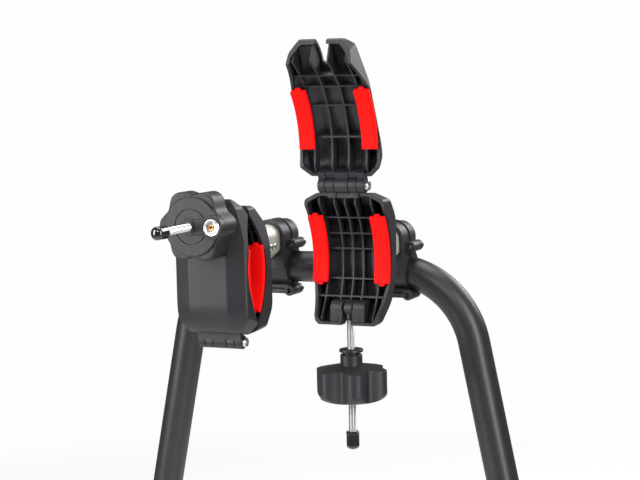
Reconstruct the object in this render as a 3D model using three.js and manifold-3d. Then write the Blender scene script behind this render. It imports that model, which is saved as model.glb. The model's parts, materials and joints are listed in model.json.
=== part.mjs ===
// Bicycle frame holder hoop: a bent steel tube with two clamp-on frame clamps.
// Millimetres, +Z up, +X along the top tube to the right, -Y towards the user.
// The origin lies midway between the two feet, on the surface they are bolted to.
import * as THREE from 'three';
import { mergeVertices } from 'three/addons/utils/BufferGeometryUtils.js';
import Module from 'manifold-3d';

const wasm = await Module();
wasm.setup();

// ---- driving dimensions -------------------------------------------------------------
const GAP = 0.3;                 // air between two pieces that rest on each other
const RUNNING = 0.1;             // radial clearance of a shaft in its bore

const TUBE_DIAMETER = 35;
const TUBE_WALL = 2;
const TUBE_HEIGHT = 520;         // axis of the top tube above the feet
const TOP_STRAIGHT = 80;         // half of the straight part of the top tube
const BEND_RADIUS = 97;          // centre line
const LEG_SPLAY = 11.5;          // degrees from upright

const PLATE = { width: 84, depth: 70, thickness: 6, corner: 8, holeDiameter: 9, holeInset: 13 };

const LEFT_HOLDER_X = -57;
const RIGHT_HOLDER_X = 86;

// The collar's base, back and screws keep their distances from the tube's surface.
const COLLAR = { halfWidth: 19.5, ringWall: 5, frontWall: 12.5, backWall: 6.5, baseWall: 11.5,
  split: 1, strapHalfWidth: 18, strapTop: 14, lugDepth: 9 };
const COLLAR_SCREW = { diameter: 5, headDiameter: 9, headHeight: 5, sideOffset: 23, lowerInset: 4,
  overTube: 9.5, underTube: 8.5, lugRadius: 6, grip: 18, tail: 2, keyRadius: 2, keyDepth: 2.5 };

const ARM = { halfWidth: 14, topCentre: 36, bottom: 12, chamfer: 10, wall: 3.5, overTube: 9 };
const ARM_SCREW = { diameter: 4, headDiameter: 7, headHeight: 2, grip: 9, height: 27, pitch: 9,
  collarInset: 18, jawInset: 12, keyRadius: 1.4, keyDepth: 1.1 };
const SPIGOT_CLEARANCE = 0.4;

const JAW_AXIS_HEIGHT = 20;      // above the top tube's axis; the two jaws are mirrored about it
const JAW_OFFSET = 5.5;          // jaw middle, from that axis towards the hinge
const PARTING = -147;            // plane where the two jaw halves meet
const HALF_GAP = 1;              // each half stays this far from the parting plane

// Both halves: ends and half widths of the outline, then the side view.
const BELLY = { low: -20, high: 10, taper: 1 };  // where the sides are widest, along the jaw
const BASE = { hingeEnd: 70, hingeHalfWidth: 30, hingeCorner: 63, halfWidth: 44, boltCorner: 63,
  boltCornerHalfWidth: 34.5, boltHalfWidth: 31, boltEnd: 66, depthAtMiddle: 34, rimSagitta: 21,
  rimHalfLength: 57, endDepth: 12, flat: 44 };
const COVER = { hingeEnd: 68, hingeHalfWidth: 33, hingeCorner: 58, halfWidth: 44, boltCorner: 66,
  boltCornerHalfWidth: 33, boltHalfWidth: 24, boltEnd: 75, rimSagitta: 18, rimHalfLength: 57,
  endDepth: 12, endWall: 8, flat: 32, curveRise: 16, panelHalfWidth: 21, facetDrop: 7, facetHalfWidth: 40 };
const SHELL_WALL = 3;
const RIB = { thickness: 1.8, setBack: 2.5, outerInset: 15.5 };
const BASE_RIB_PITCH = 11.5;
const COVER_RIB_OFFSET = 9;
const BASE_CROSS_RIBS = [-38, -20, 11, 27, 44];
const COVER_CROSS_RIBS = [-38, -24, -2, 31];
// Direction of the planes that cut the cover's two hinge corners.
const COVER_TAPER = { across: 0.748, deep: 0.332, along: 0.575 };

const HINGE = { distance: 78, barrelRadius: 7.5, screwDiameter: 6, headDiameter: 10, headHeight: 3.5,
  centreHalf: 7.5, innerHalf: 17, outerHalf: 25.5, sideGap: 0.5, lugThickness: 8, lugRoot: 5 };
const OPEN_LEAN = 25;            // degrees the open cover leans towards the user

// The pads lie nearer the hinge than the jaw's middle; both lengths follow the rim.
const PAD = { width: 17, thickness: 5, baseOffset: 12.5, baseHalf: 37.5, coverOffset: 10, coverHalf: 33,
  nubLength: 3, nubHalf: 3, nubThickness: 3.5, edgeInset: 0.7 };

const PIVOT = { depth: -134, distance: 50, pinDiameter: 6, pinHalf: 17, eyeRadius: 7.5,
  eyeHalfWidth: 4.6, bossHalfWidth: 19, bossRadius: 9, slotHalfWidth: 5.6 };
const SEAT_DISTANCE = 42;        // from the bolt's pivot to the cover's outer face
const BOLT = { diameter: 8, length: 143, capOverlap: 14 };
const NOTCH = { halfWidth: 6.3, distance: 51.5 };
const CAP = { radius: 6.9, length: 19.5, nose: 5 };
const WASHER = { radius: 12.5, thickness: 3 };
const KNOB = { lobes: 6, radius: 38.5, lobeDepth: 3.2, height: 36, hubRadius: 11.5, hubHeight: 14 };
const LOCK_KNOB = { height: 27, faceRadius: 30.5, faceRise: 3, bossOffset: 26, bossRadius: 12.2,
  bossRise: 8, hubRadius: 8 };
const LOCK = { radius: 9.4, length: 24, slotWidth: 2.2, slotLength: 9, slotDepth: 6 };

// Curve divisions: an arc or a disc takes two segments for each.
const SMOOTH = 5;
const ROUND = 7;
const TUBE_SIDES = 12;

// Cutting solids reach past every piece: across, in depth and along.
const WIDE = 60;
const DEEP = 260;
const LONG = 100;

// ---- materials ----------------------------------------------------------------------
const finish = (color, roughness, metalness) => new THREE.MeshStandardMaterial({ color, roughness, metalness });
const POWDER_BLACK = finish(0x17171a, 0.42, 0.3);
const MOULDED_BLACK = finish(0x25262b, 0.5, 0);
const GLOSS_BLACK = finish(0x101012, 0.15, 0);
const RED_RUBBER = finish(0xe8120c, 0.75, 0);
const ZINC = finish(0xb9beb4, 0.3, 1);
const NICKEL = finish(0xc9c6bf, 0.25, 1);
const SATIN_ALUMINIUM = finish(0xd5d2c8, 0.45, 0.9);

// ---- shapes and solids ----------------------------------------------------------------
const degrees = THREE.MathUtils.degToRad;

function polygon(points) {
  return new THREE.Shape(points.map(([a, b]) => new THREE.Vector2(a, b)));
}

function rectangle(a0, b0, a1, b1) {
  return polygon([[a0, b0], [a1, b0], [a1, b1], [a0, b1]]);
}

function disc(a, b, radius) {
  const shape = new THREE.Shape();
  shape.absarc(a, b, radius, 0, Math.PI * 2);
  return shape;
}

function solidOf(geometry) {
  geometry.deleteAttribute('normal');
  geometry.deleteAttribute('uv');
  const merged = mergeVertices(geometry, 1e-4);
  return new wasm.Manifold(new wasm.Mesh({
    numProp: 3,
    vertProperties: new Float32Array(merged.attributes.position.array),
    triVerts: new Uint32Array(merged.index.array),
  }));
}

function prism(shape, length, segments, basis, start) {
  const geometry = new THREE.ExtrudeGeometry(shape, { depth: length, bevelEnabled: false, curveSegments: segments });
  geometry.applyMatrix4(basis.clone().setPosition(start));
  return solidOf(geometry);
}

const X = new THREE.Vector3(1, 0, 0);
const Y = new THREE.Vector3(0, 1, 0);
const Z = new THREE.Vector3(0, 0, 1);
const BASIS_X = new THREE.Matrix4().makeBasis(Y, Z, X);                   // outline in (y, z)
const BASIS_Y = new THREE.Matrix4().makeBasis(X, Z, Y.clone().negate());  // outline in (x, z)
const BASIS_Z = new THREE.Matrix4().makeBasis(X, Y, Z);                   // outline in (x, y)

function alongX(shape, x0, x1, segments = SMOOTH) {
  return prism(shape, x1 - x0, segments, BASIS_X, new THREE.Vector3(x0, 0, 0));
}

function alongY(shape, y0, y1, segments = SMOOTH) {
  return prism(shape, y1 - y0, segments, BASIS_Y, new THREE.Vector3(0, y1, 0));
}

function alongZ(shape, z0, z1, segments = SMOOTH) {
  return prism(shape, z1 - z0, segments, BASIS_Z, new THREE.Vector3(0, 0, z0));
}

function box(low, high) {
  return alongZ(rectangle(low[0], low[1], high[0], high[1]), low[2], high[2]);
}

function joined(solids) {
  return solids.reduce((sum, solid) => sum.add(solid));
}

function pieceMesh(name, solid, material) {
  const { vertProperties, triVerts } = solid.asOriginal().simplify(0.02).getMesh();
  const geometry = new THREE.BufferGeometry();
  geometry.setAttribute('position', new THREE.BufferAttribute(new Float32Array(vertProperties), 3));
  geometry.setIndex(new THREE.BufferAttribute(new Uint32Array(triVerts), 1));
  geometry.computeVertexNormals();
  const mesh = new THREE.Mesh(geometry, material);
  mesh.name = name;
  return mesh;
}

// ---- hoop -----------------------------------------------------------------------------
const TUBE_RADIUS = TUBE_DIAMETER / 2;
const SPLAY = degrees(LEG_SPLAY);
const LEG_TOP_X = TOP_STRAIGHT + BEND_RADIUS * Math.cos(SPLAY);
const LEG_TOP_Z = TUBE_HEIGHT - BEND_RADIUS + BEND_RADIUS * Math.sin(SPLAY);
const legX = (z) => LEG_TOP_X + (LEG_TOP_Z - z) * Math.tan(SPLAY);

// Five spans: leg, bend, top, bend, leg. A straight span takes one step and a bend takes many.
class HoopPath extends THREE.Curve {
  constructor(bendSteps) {
    super();
    this.spans = [1, bendSteps, 1, bendSteps, 1];
    this.steps = this.spans.reduce((sum, n) => sum + n);
  }

  bendPoint(side, turn) {
    return new THREE.Vector3(side * (TOP_STRAIGHT + BEND_RADIUS * Math.cos(turn)), 0,
      TUBE_HEIGHT - BEND_RADIUS + BEND_RADIUS * Math.sin(turn));
  }

  getPoint(t) {
    let step = t * this.steps;
    let span = 0;
    while (span < 4 && step > this.spans[span]) {
      step -= this.spans[span];
      span += 1;
    }
    const share = step / this.spans[span];
    const legFoot = (side) => new THREE.Vector3(side * legX(-20), 0, -20);
    const sweep = Math.PI / 2 - SPLAY;
    if (span === 0) return legFoot(-1).lerp(this.bendPoint(-1, SPLAY), share);
    if (span === 1) return this.bendPoint(-1, SPLAY + sweep * share);
    if (span === 2) return this.bendPoint(-1, Math.PI / 2).lerp(this.bendPoint(1, Math.PI / 2), share);
    if (span === 3) return this.bendPoint(1, Math.PI / 2 - sweep * share);
    return this.bendPoint(1, SPLAY).lerp(legFoot(1), share);
  }

  getPointAt(u) {
    return this.getPoint(u);
  }

  getTangentAt(u, target) {
    return this.getTangent(u, target);
  }
}

function sweptTube(outerRadius, innerRadius, segments) {
  const path = new HoopPath(10);
  const section = disc(0, 0, outerRadius);
  if (innerRadius > 0) section.holes.push(new THREE.Path().absarc(0, 0, innerRadius, 0, Math.PI * 2, true));
  return solidOf(new THREE.ExtrudeGeometry(section, { steps: path.steps, extrudePath: path, curveSegments: segments }));
}

function hoopTube() {
  const floor = box([-600, -60, -60], [600, 60, PLATE.thickness + GAP]);
  return sweptTube(TUBE_RADIUS, TUBE_RADIUS - TUBE_WALL, TUBE_SIDES).subtract(floor);
}

function footPlate(side) {
  const centre = side * legX(PLATE.thickness);
  const w = PLATE.width / 2;
  const d = PLATE.depth / 2;
  const c = PLATE.corner;
  const outline = new THREE.Shape();
  outline.moveTo(centre - w + c, -d);
  outline.lineTo(centre + w - c, -d);
  outline.absarc(centre + w - c, -d + c, c, -Math.PI / 2, 0);
  outline.lineTo(centre + w, d - c);
  outline.absarc(centre + w - c, d - c, c, 0, Math.PI / 2);
  outline.lineTo(centre - w + c, d);
  outline.absarc(centre - w + c, d - c, c, Math.PI / 2, Math.PI);
  outline.lineTo(centre - w, -d + c);
  outline.absarc(centre - w + c, -d + c, c, Math.PI, Math.PI * 1.5);
  for (const sx of [-1, 1]) {
    for (const sy of [-1, 1]) {
      outline.holes.push(new THREE.Path().absarc(centre + sx * (w - PLATE.holeInset),
        sy * (d - PLATE.holeInset), PLATE.holeDiameter / 2, 0, Math.PI * 2, true));
    }
  }
  return alongZ(outline, 0, PLATE.thickness, 3);
}

// ---- collar and arm, in a frame with its origin on the top tube's axis -------------------
const COLLAR_RING = TUBE_RADIUS + COLLAR.ringWall;
const COLLAR_FRONT = TUBE_RADIUS + COLLAR.frontWall;
const COLLAR_BACK = TUBE_RADIUS + COLLAR.backWall;
const BASE_DROP = TUBE_RADIUS + COLLAR.baseWall;
const ARCH_TOP = ARM.topCentre + COLLAR.halfWidth;
const BACK_PLANE = PARTING + BASE.depthAtMiddle;     // rear face of the jaw's inner half

function archOutline(halfWidth, bottom) {
  const shape = new THREE.Shape();
  shape.moveTo(-halfWidth, bottom);
  shape.lineTo(halfWidth, bottom);
  shape.lineTo(halfWidth, ARM.topCentre);
  shape.absarc(0, ARM.topCentre, halfWidth, 0, Math.PI);
  return shape;
}

// The arm's outline, offset outwards; every wall, the chamfers too, moves by the same distance.
function armOutline(offset) {
  const h = ARM.halfWidth + offset;
  const bottom = ARM.bottom - offset;
  const chamfer = ARM.chamfer + offset * (2 - Math.SQRT2);
  const shape = new THREE.Shape();
  shape.moveTo(-h + chamfer, bottom);
  shape.lineTo(h - chamfer, bottom);
  shape.lineTo(h, bottom + chamfer);
  shape.lineTo(h, ARM.topCentre);
  shape.absarc(0, ARM.topCentre, h, 0, Math.PI);
  shape.lineTo(-h, bottom + chamfer);
  return shape;
}

// The bore follows the hoop, which starts to bend beside the right collar.
function boreFor(holderX, clearance) {
  return sweptTube(TUBE_RADIUS + clearance, 0, TUBE_SIDES).translate([-holderX, 0, -TUBE_HEIGHT]);
}

function collarScrewPlaces() {
  const s = COLLAR_SCREW;
  const above = TUBE_RADIUS + s.overTube;
  const below = TUBE_RADIUS + s.underTube;
  return [
    ['upper_a', -s.sideOffset, above],
    ['upper_b', s.sideOffset, above],
    ['lower_a', -s.sideOffset + s.lowerInset, -below],
    ['lower_b', s.sideOffset - s.lowerInset, -below],
  ];
}

const REAR_SCREWS = -COLLAR_FRONT - ARM_SCREW.collarInset;
const FRONT_SCREWS = BACK_PLANE + ARM_SCREW.jawInset;

function screwHoles(y0, y1) {
  const radius = COLLAR_SCREW.diameter / 2 + RUNNING;
  return joined(collarScrewPlaces().map(([, x, z]) => alongY(disc(x, z, radius), y0, y1, ROUND)));
}

function screwLugs(y0, y1) {
  return joined(collarScrewPlaces().map(([, x, z]) => alongY(disc(x, z, COLLAR_SCREW.lugRadius), y0, y1, ROUND)));
}

function collarFront(holderX) {
  const y0 = -COLLAR_FRONT;
  const y1 = -COLLAR.split / 2;
  const body = alongY(archOutline(COLLAR.halfWidth, -BASE_DROP), y0, y1);
  const side = joined([
    alongX(disc(0, 0, COLLAR_RING), -WIDE, WIDE, TUBE_SIDES),
    alongX(rectangle(y0, 0, 0, ARCH_TOP + 1), -WIDE, WIDE),
    alongX(rectangle(-COLLAR_RING + 2, -BASE_DROP, 0, -BASE_DROP + COLLAR.ringWall), -WIDE, WIDE),
    alongX(rectangle(-COLLAR_RING / 2, -BASE_DROP, 0, 0), -WIDE, WIDE),
  ]);
  const pocket = alongY(armOutline(GAP), y0 - 1, 1);
  return body.intersect(side)
    .add(screwLugs(y1 - COLLAR_SCREW.grip, y1))
    .subtract(pocket)
    .subtract(boreFor(holderX, GAP))
    .subtract(screwHoles(y1 - COLLAR_SCREW.grip + 1, y1 + 1));
}

// The rear strap closes the ring round the tube and the arch over the arm, and its tongue
// runs forward inside the arm, where the arm's side screws hold it.
function collarBack(holderX) {
  const y0 = COLLAR.split / 2;
  const body = alongY(archOutline(COLLAR.strapHalfWidth, -BASE_DROP + 3), y0, COLLAR_BACK);
  const side = joined([
    alongX(disc(0, 0, COLLAR_RING), -WIDE, WIDE, TUBE_SIDES),
    alongX(rectangle(0, 0, COLLAR.strapTop, ARCH_TOP - 2), -WIDE, WIDE),
    alongX(rectangle(0, -BASE_DROP, COLLAR.lugDepth, 0), -WIDE, WIDE),
  ]);
  const armRoom = alongY(armOutline(GAP), -1, ARM.overTube + GAP);
  const tongue = alongY(armOutline(-ARM.wall - SPIGOT_CLEARANCE), REAR_SCREWS - ARM_SCREW.pitch, COLLAR.strapTop);
  return body.intersect(side)
    .add(screwLugs(y0, COLLAR.lugDepth))
    .subtract(armRoom)
    .add(tongue)
    .subtract(armScrews(REAR_SCREWS, RUNNING))
    .subtract(boreFor(holderX, GAP))
    .subtract(screwHoles(0, COLLAR_BACK + 1));
}

function collarScrew(x, z) {
  const s = COLLAR_SCREW;
  const head = COLLAR.lugDepth + GAP;
  const top = head + s.headHeight;
  const shank = alongY(disc(x, z, s.diameter / 2), -s.grip + s.tail, head + 1, 4);
  const cap = alongY(disc(x, z, s.headDiameter / 2), head, top, 6);
  const key = alongY(disc(x, z, s.keyRadius), top - s.keyDepth, top + 1, 3);
  return shank.add(cap).subtract(key);
}

// Two pan-head screws through the arm's +X side, centred on depth y; clearance makes their holes.
function armScrews(y, clearance) {
  return joined([-1, 1].map((side) => armScrew(y, side, clearance)));
}

function armScrew(y, side, clearance = 0) {
  const s = ARM_SCREW;
  const at = disc(y + side * s.pitch / 2, s.height, s.diameter / 2 + clearance);
  return alongX(at, ARM.halfWidth - s.grip - clearance, ARM.halfWidth + 1, 4);
}

function armScrewPiece(y, side) {
  const s = ARM_SCREW;
  const depth = y + side * s.pitch / 2;
  const seat = ARM.halfWidth + GAP;
  const top = seat + s.headHeight;
  const head = alongX(disc(depth, s.height, s.headDiameter / 2), seat, top, 6);
  const key = alongX(disc(depth, s.height, s.keyRadius), top - s.keyDepth, top + 1, 3);
  return armScrew(y, side).add(head).subtract(key);
}

function arm(holderX) {
  const front = BACK_PLANE + GAP;
  return alongY(armOutline(0), front, ARM.overTube)
    .subtract(alongY(armOutline(-ARM.wall), front - 1, ARM.overTube + 1))
    .subtract(boreFor(holderX, 2 * GAP))
    .subtract(armScrews(REAR_SCREWS, RUNNING))
    .subtract(armScrews(FRONT_SCREWS, RUNNING));
}

// ---- jaw, in a frame with its origin at the jaw's middle on the tube's plane --------------
// x across the jaw, y depth, z along the jaw towards the hinge.
const circleThrough = (sagitta, halfChord) => (sagitta * sagitta + halfChord * halfChord) / (2 * sagitta);
const BASE_RIM_RADIUS = circleThrough(BASE.rimSagitta, BASE.rimHalfLength);
const COVER_RIM_RADIUS = circleThrough(COVER.rimSagitta, COVER.rimHalfLength);
const BASE_RIM_PLANE = PARTING + HALF_GAP;
const COVER_RIM_PLANE = PARTING - HALF_GAP;
const BASE_RIM_CENTRE = BASE_RIM_PLANE + BASE.rimSagitta - BASE_RIM_RADIUS;
const COVER_RIM_CENTRE = COVER_RIM_PLANE - COVER.rimSagitta + COVER_RIM_RADIUS;
const COVER_FRONT = PIVOT.depth - SEAT_DISTANCE;

function jawOutline(half, inset) {
  const right = [
    [half.boltHalfWidth - inset, inset - half.boltEnd],
    [half.boltCornerHalfWidth - inset, inset - half.boltCorner],
    [half.halfWidth - BELLY.taper - inset, BELLY.low],
    [half.halfWidth - inset, BELLY.high],
    [half.halfWidth - inset, half.hingeCorner - inset],
    [half.hingeHalfWidth - inset, half.hingeEnd - inset],
  ];
  const left = right.map(([x, z]) => [-x, z]).reverse();
  return polygon([...right, ...left]);
}

// Side view of the inner half: crescent, hollowed by an arc on the -Y side. A set-back moves
// the rim towards +Y, about the same centre.
function baseProfile(inset, setBack) {
  const rim = BASE_RIM_PLANE + setBack;
  const radius = BASE_RIM_RADIUS + setBack;
  const reach = Math.acos((rim - BASE_RIM_CENTRE) / radius);
  const rimEnd = radius * Math.sin(reach);
  const back = BACK_PLANE - inset;
  const endBack = BASE_RIM_PLANE + BASE.endDepth;
  const top = BASE.hingeEnd - inset;
  const bottom = -BASE.boltEnd + inset;
  const shape = new THREE.Shape();
  shape.moveTo(rim, bottom);
  shape.lineTo(endBack, bottom);
  shape.lineTo(back, -BASE.flat + inset / 2);
  shape.lineTo(back, BASE.flat - inset / 2);
  shape.lineTo(endBack, top);
  shape.lineTo(rim, top);
  shape.lineTo(rim, rimEnd);
  shape.absarc(BASE_RIM_CENTRE, 0, radius, reach, -reach, true);
  return shape;
}

// Side view of the cover: crescent, hollowed on the +Y side; its seat stays inside the
// circle that the knob's washer sweeps about the bolt's pivot.
function coverProfile(inset, setBack) {
  const rim = COVER_RIM_PLANE - setBack;
  const radius = COVER_RIM_RADIUS + setBack;
  const reach = Math.acos((COVER_RIM_CENTRE - rim) / radius);
  const rimEnd = radius * Math.sin(reach);
  const front = COVER_FRONT + inset;
  const seat = SEAT_DISTANCE - inset;
  const end = COVER.boltEnd - inset;
  const drop = Math.asin((end - PIVOT.distance) / seat);
  const tip = PIVOT.depth - SEAT_DISTANCE * Math.cos(drop) + COVER.endWall - setBack;
  const shape = new THREE.Shape();
  shape.moveTo(rim, COVER.hingeEnd - inset);
  shape.lineTo(COVER_RIM_PLANE - COVER.endDepth + inset, COVER.hingeEnd - inset);
  shape.lineTo(front + COVER.endDepth / 2, COVER.flat + COVER.curveRise - inset / 2);
  shape.lineTo(front, COVER.flat - inset / 2);
  shape.absarc(PIVOT.depth, -PIVOT.distance, seat, Math.PI, Math.PI + drop);
  shape.lineTo(tip, -end);
  shape.lineTo(rim, -rimEnd);
  shape.absarc(COVER_RIM_CENTRE, 0, radius, Math.PI + reach, Math.PI - reach, true);
  return shape;
}

// Section across the cover: a flat middle panel with a facet on each side of it.
function coverSection(inset) {
  const front = COVER_FRONT + inset;
  return polygon([
    [-COVER.panelHalfWidth + inset * 0.3, front], [COVER.panelHalfWidth - inset * 0.3, front],
    [COVER.facetHalfWidth - inset, front + COVER.facetDrop], [COVER.halfWidth + 1 - inset, COVER_RIM_PLANE - 10],
    [COVER.halfWidth + 1 - inset, PARTING + 1], [-COVER.halfWidth - 1 + inset, PARTING + 1],
    [-COVER.halfWidth - 1 + inset, COVER_RIM_PLANE - 10], [-COVER.facetHalfWidth + inset, front + COVER.facetDrop],
  ]);
}

// Cuts the cover's two hinge corners by planes that pass through the corners of its rim.
function taperedAtHinge(solid, inset) {
  return [-1, 1].reduce((body, side) => {
    const corner = new THREE.Vector3(side * COVER.halfWidth, COVER_RIM_PLANE, COVER.hingeCorner);
    const inward = new THREE.Vector3(-side * COVER_TAPER.across, COVER_TAPER.deep, -COVER_TAPER.along).normalize();
    return body.trimByPlane(inward.toArray(), inward.dot(corner) + inset);
  }, solid);
}

function ribs(positions, crossRibs, halfWidth) {
  const t = RIB.thickness / 2;
  const long = positions.map((x) => box([x - t, -DEEP, -LONG], [x + t, 0, LONG]));
  const cross = crossRibs.map((z) => box([-halfWidth, -DEEP, z - t], [halfWidth, 0, z + t]));
  return joined([...long, ...cross]);
}

function knuckle(x0, x1) {
  return alongX(disc(PARTING, HINGE.distance, HINGE.barrelRadius), x0, x1, ROUND);
}

// One hinge lug: the knuckle and a leaf that runs from it into the shell's end.
function hingeLug(x0, x1, side) {
  const t = HINGE.lugThickness;
  const r = HINGE.barrelRadius;
  const y0 = side > 0 ? PARTING + r - t : PARTING - r;
  const root = (side > 0 ? BASE.hingeEnd : COVER.hingeEnd) - HINGE.lugRoot;
  return knuckle(x0, x1).add(alongX(rectangle(y0, root, y0 + t, HINGE.distance), x0, x1));
}

// The end wall's lip that follows the other half's knuckles, a running gap away from them.
function hingeLip(side) {
  const reach = HINGE.barrelRadius + HINGE.sideGap;
  const inside = side > 0 ? PARTING + HALF_GAP : PARTING - HALF_GAP;
  const outside = PARTING + side * HINGE.barrelRadius;
  const root = (side > 0 ? BASE.hingeEnd : COVER.hingeEnd) - HINGE.lugRoot;
  const half = side > 0 ? HINGE.innerHalf : HINGE.outerHalf;
  return alongX(rectangle(Math.min(inside, outside), root, Math.max(inside, outside), HINGE.distance), -half, half)
    .subtract(alongX(disc(PARTING, HINGE.distance, reach), -half - 1, half + 1, ROUND));
}

const hingeBore = () => alongX(disc(PARTING, HINGE.distance, HINGE.screwDiameter / 2 + RUNNING), -WIDE, WIDE, ROUND);

function innerShell(armInJaw) {
  const p = PIVOT;
  const outer = alongX(baseProfile(0, 0), -WIDE, WIDE).intersect(alongY(jawOutline(BASE, 0), -DEEP, 0));
  const hollow = alongX(baseProfile(SHELL_WALL, -12), -WIDE, WIDE)
    .intersect(alongY(jawOutline(BASE, SHELL_WALL), -DEEP, 0));
  const room = alongX(baseProfile(SHELL_WALL / 2, RIB.setBack), -WIDE, WIDE)
    .intersect(alongY(jawOutline(BASE, SHELL_WALL / 2), -DEEP, 0));
  const outerRib = BASE.halfWidth - RIB.outerInset;
  const grid = ribs([-outerRib, -BASE_RIB_PITCH, 0, BASE_RIB_PITCH, outerRib], BASE_CROSS_RIBS, WIDE);
  const boss = joined([
    alongX(disc(p.depth, -p.distance, p.bossRadius), -p.bossHalfWidth, p.bossHalfWidth),
    box([-p.bossHalfWidth, p.depth, 1 - BASE.boltEnd], [p.bossHalfWidth, BACK_PLANE - 1, p.bossRadius - p.distance])
      .intersect(alongX(baseProfile(1, 0), -WIDE, WIDE)),
    box([-p.bossHalfWidth, p.depth - p.bossRadius, 1 - BASE.boltEnd], [p.bossHalfWidth, p.depth, -p.distance]),
  ]);
  const swing = alongX(disc(p.depth, -p.distance, p.eyeRadius + 1), -p.slotHalfWidth, p.slotHalfWidth, ROUND);
  const slotDown = box([-p.slotHalfWidth, p.depth - WIDE, -LONG], [p.slotHalfWidth, p.depth + p.eyeRadius, -p.distance]);
  const slotFront = box([-p.slotHalfWidth, -DEEP, -p.distance - 30], [p.slotHalfWidth, p.depth, -p.distance + p.eyeRadius]);
  const pinBore = alongX(disc(p.depth, -p.distance, p.pinDiameter / 2 + RUNNING), -p.pinHalf - GAP, p.pinHalf + GAP, ROUND);
  const spigot = spigotOfJaw(armInJaw);
  const lugs = joined([-1, 1].map((side) => {
    const a = side * (HINGE.centreHalf + HINGE.sideGap);
    const b = side * HINGE.innerHalf;
    return hingeLug(Math.min(a, b), Math.max(a, b), 1);
  }));
  return outer.subtract(hollow)
    .add(grid.intersect(room))
    .add(boss)
    .subtract(swing).subtract(slotDown).subtract(slotFront).subtract(pinBore)
    .add(hingeLip(1))
    .add(lugs)
    .subtract(hingeBore())
    .add(spigot);
}

// The jaw's spigot fills the arm's end; armInJaw is the arm's place in the jaw's frame.
function spigotOfJaw(armInJaw) {
  const y0 = BACK_PLANE - 1;
  const y1 = BACK_PLANE + 2 * ARM_SCREW.jawInset;
  const plug = alongY(armOutline(-ARM.wall - SPIGOT_CLEARANCE), y0, y1)
    .subtract(armScrews(FRONT_SCREWS, RUNNING));
  return plug.transform(Array.from(armInJaw.elements));
}

function cover() {
  const solidInset = (inset, setBack) => taperedAtHinge(alongX(coverProfile(inset, setBack), -WIDE, WIDE)
    .intersect(alongY(jawOutline(COVER, inset), -DEEP, 0))
    .intersect(alongZ(coverSection(inset), -LONG, LONG)), inset);
  const outer = solidInset(0, 0);
  const hollow = solidInset(SHELL_WALL, -12);
  const room = solidInset(SHELL_WALL / 2, RIB.setBack);
  const outerRib = COVER.halfWidth - RIB.outerInset;
  const grid = ribs([-outerRib, -COVER_RIB_OFFSET, COVER_RIB_OFFSET, outerRib], COVER_CROSS_RIBS, WIDE);
  const notch = joined([
    alongY(disc(0, -NOTCH.distance, NOTCH.halfWidth), -DEEP, 0),
    alongY(rectangle(-NOTCH.halfWidth, -LONG, NOTCH.halfWidth, -NOTCH.distance), -DEEP, 0),
  ]);
  const lugs = joined([
    hingeLug(-HINGE.centreHalf, HINGE.centreHalf, -1),
    hingeLug(HINGE.innerHalf + HINGE.sideGap, HINGE.outerHalf, -1),
    hingeLug(-HINGE.outerHalf, -HINGE.innerHalf - HINGE.sideGap, -1),
  ]);
  return outer.subtract(hollow)
    .add(grid.intersect(room))
    .subtract(notch)
    .add(hingeLip(-1))
    .add(lugs)
    .subtract(hingeBore());
}

function hingeScrew(headSide) {
  const end = HINGE.outerHalf + GAP;
  const shank = alongX(disc(PARTING, HINGE.distance, HINGE.screwDiameter / 2), -end + 1, end, 6);
  const head = alongX(disc(PARTING, HINGE.distance, HINGE.headDiameter / 2), end, end + HINGE.headHeight, ROUND);
  const key = alongX(disc(PARTING, HINGE.distance, 2.4), end + HINGE.headHeight - 2, end + HINGE.headHeight + 1, 3);
  const screw = shank.add(head).subtract(key);
  return headSide > 0 ? screw : screw.mirror([1, 0, 0]);
}

function pad(side, forCover) {
  const centre = forCover ? COVER_RIM_CENTRE : BASE_RIM_CENTRE;
  const rim = forCover ? COVER_RIM_RADIUS : BASE_RIM_RADIUS;
  const middle = forCover ? Math.PI : 0;
  const outer = rim - GAP;
  const inner = outer - PAD.thickness;
  const along = middle + (forCover ? -PAD.coverOffset : PAD.baseOffset) / rim;
  const half = forCover ? PAD.coverHalf : PAD.baseHalf;
  const reach = half / rim;
  const nubReach = (half + PAD.nubLength) / rim;
  const band = (r0, r1, start, end) => {
    const shape = new THREE.Shape();
    shape.absarc(centre, 0, r1, start, end);
    shape.absarc(centre, 0, r0, end, start, true);
    return shape;
  };
  // The cover's pad has a nub at the bolt's end only.
  const nubFrom = forCover ? along : along - nubReach;
  const x1 = COVER.halfWidth - PAD.edgeInset;
  const x0 = x1 - PAD.width;
  const mid = (x0 + x1) / 2;
  const nub = alongX(band(outer - PAD.nubThickness, outer, nubFrom, along + nubReach), mid - PAD.nubHalf, mid + PAD.nubHalf);
  const body = alongX(band(inner, outer, along - reach, along + reach), x0, x1).add(nub);
  return side > 0 ? body : body.mirror([1, 0, 0]);
}

// ---- swivel bolt and knob, along -Y from the pivot at the origin ---------------------------
function swivelBolt() {
  const r = BOLT.diameter / 2;
  const shank = alongY(disc(0, 0, r), -BOLT.length, -PIVOT.eyeRadius + 2, 6);
  const eye = alongX(disc(0, 0, PIVOT.eyeRadius), -PIVOT.eyeHalfWidth, PIVOT.eyeHalfWidth, ROUND);
  const hole = alongX(disc(0, 0, PIVOT.pinDiameter / 2 + RUNNING), -10, 10, ROUND);
  return shank.add(eye).subtract(hole);
}

function boltPin() {
  return alongX(disc(0, 0, PIVOT.pinDiameter / 2), -PIVOT.pinHalf, PIVOT.pinHalf, ROUND);
}

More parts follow.
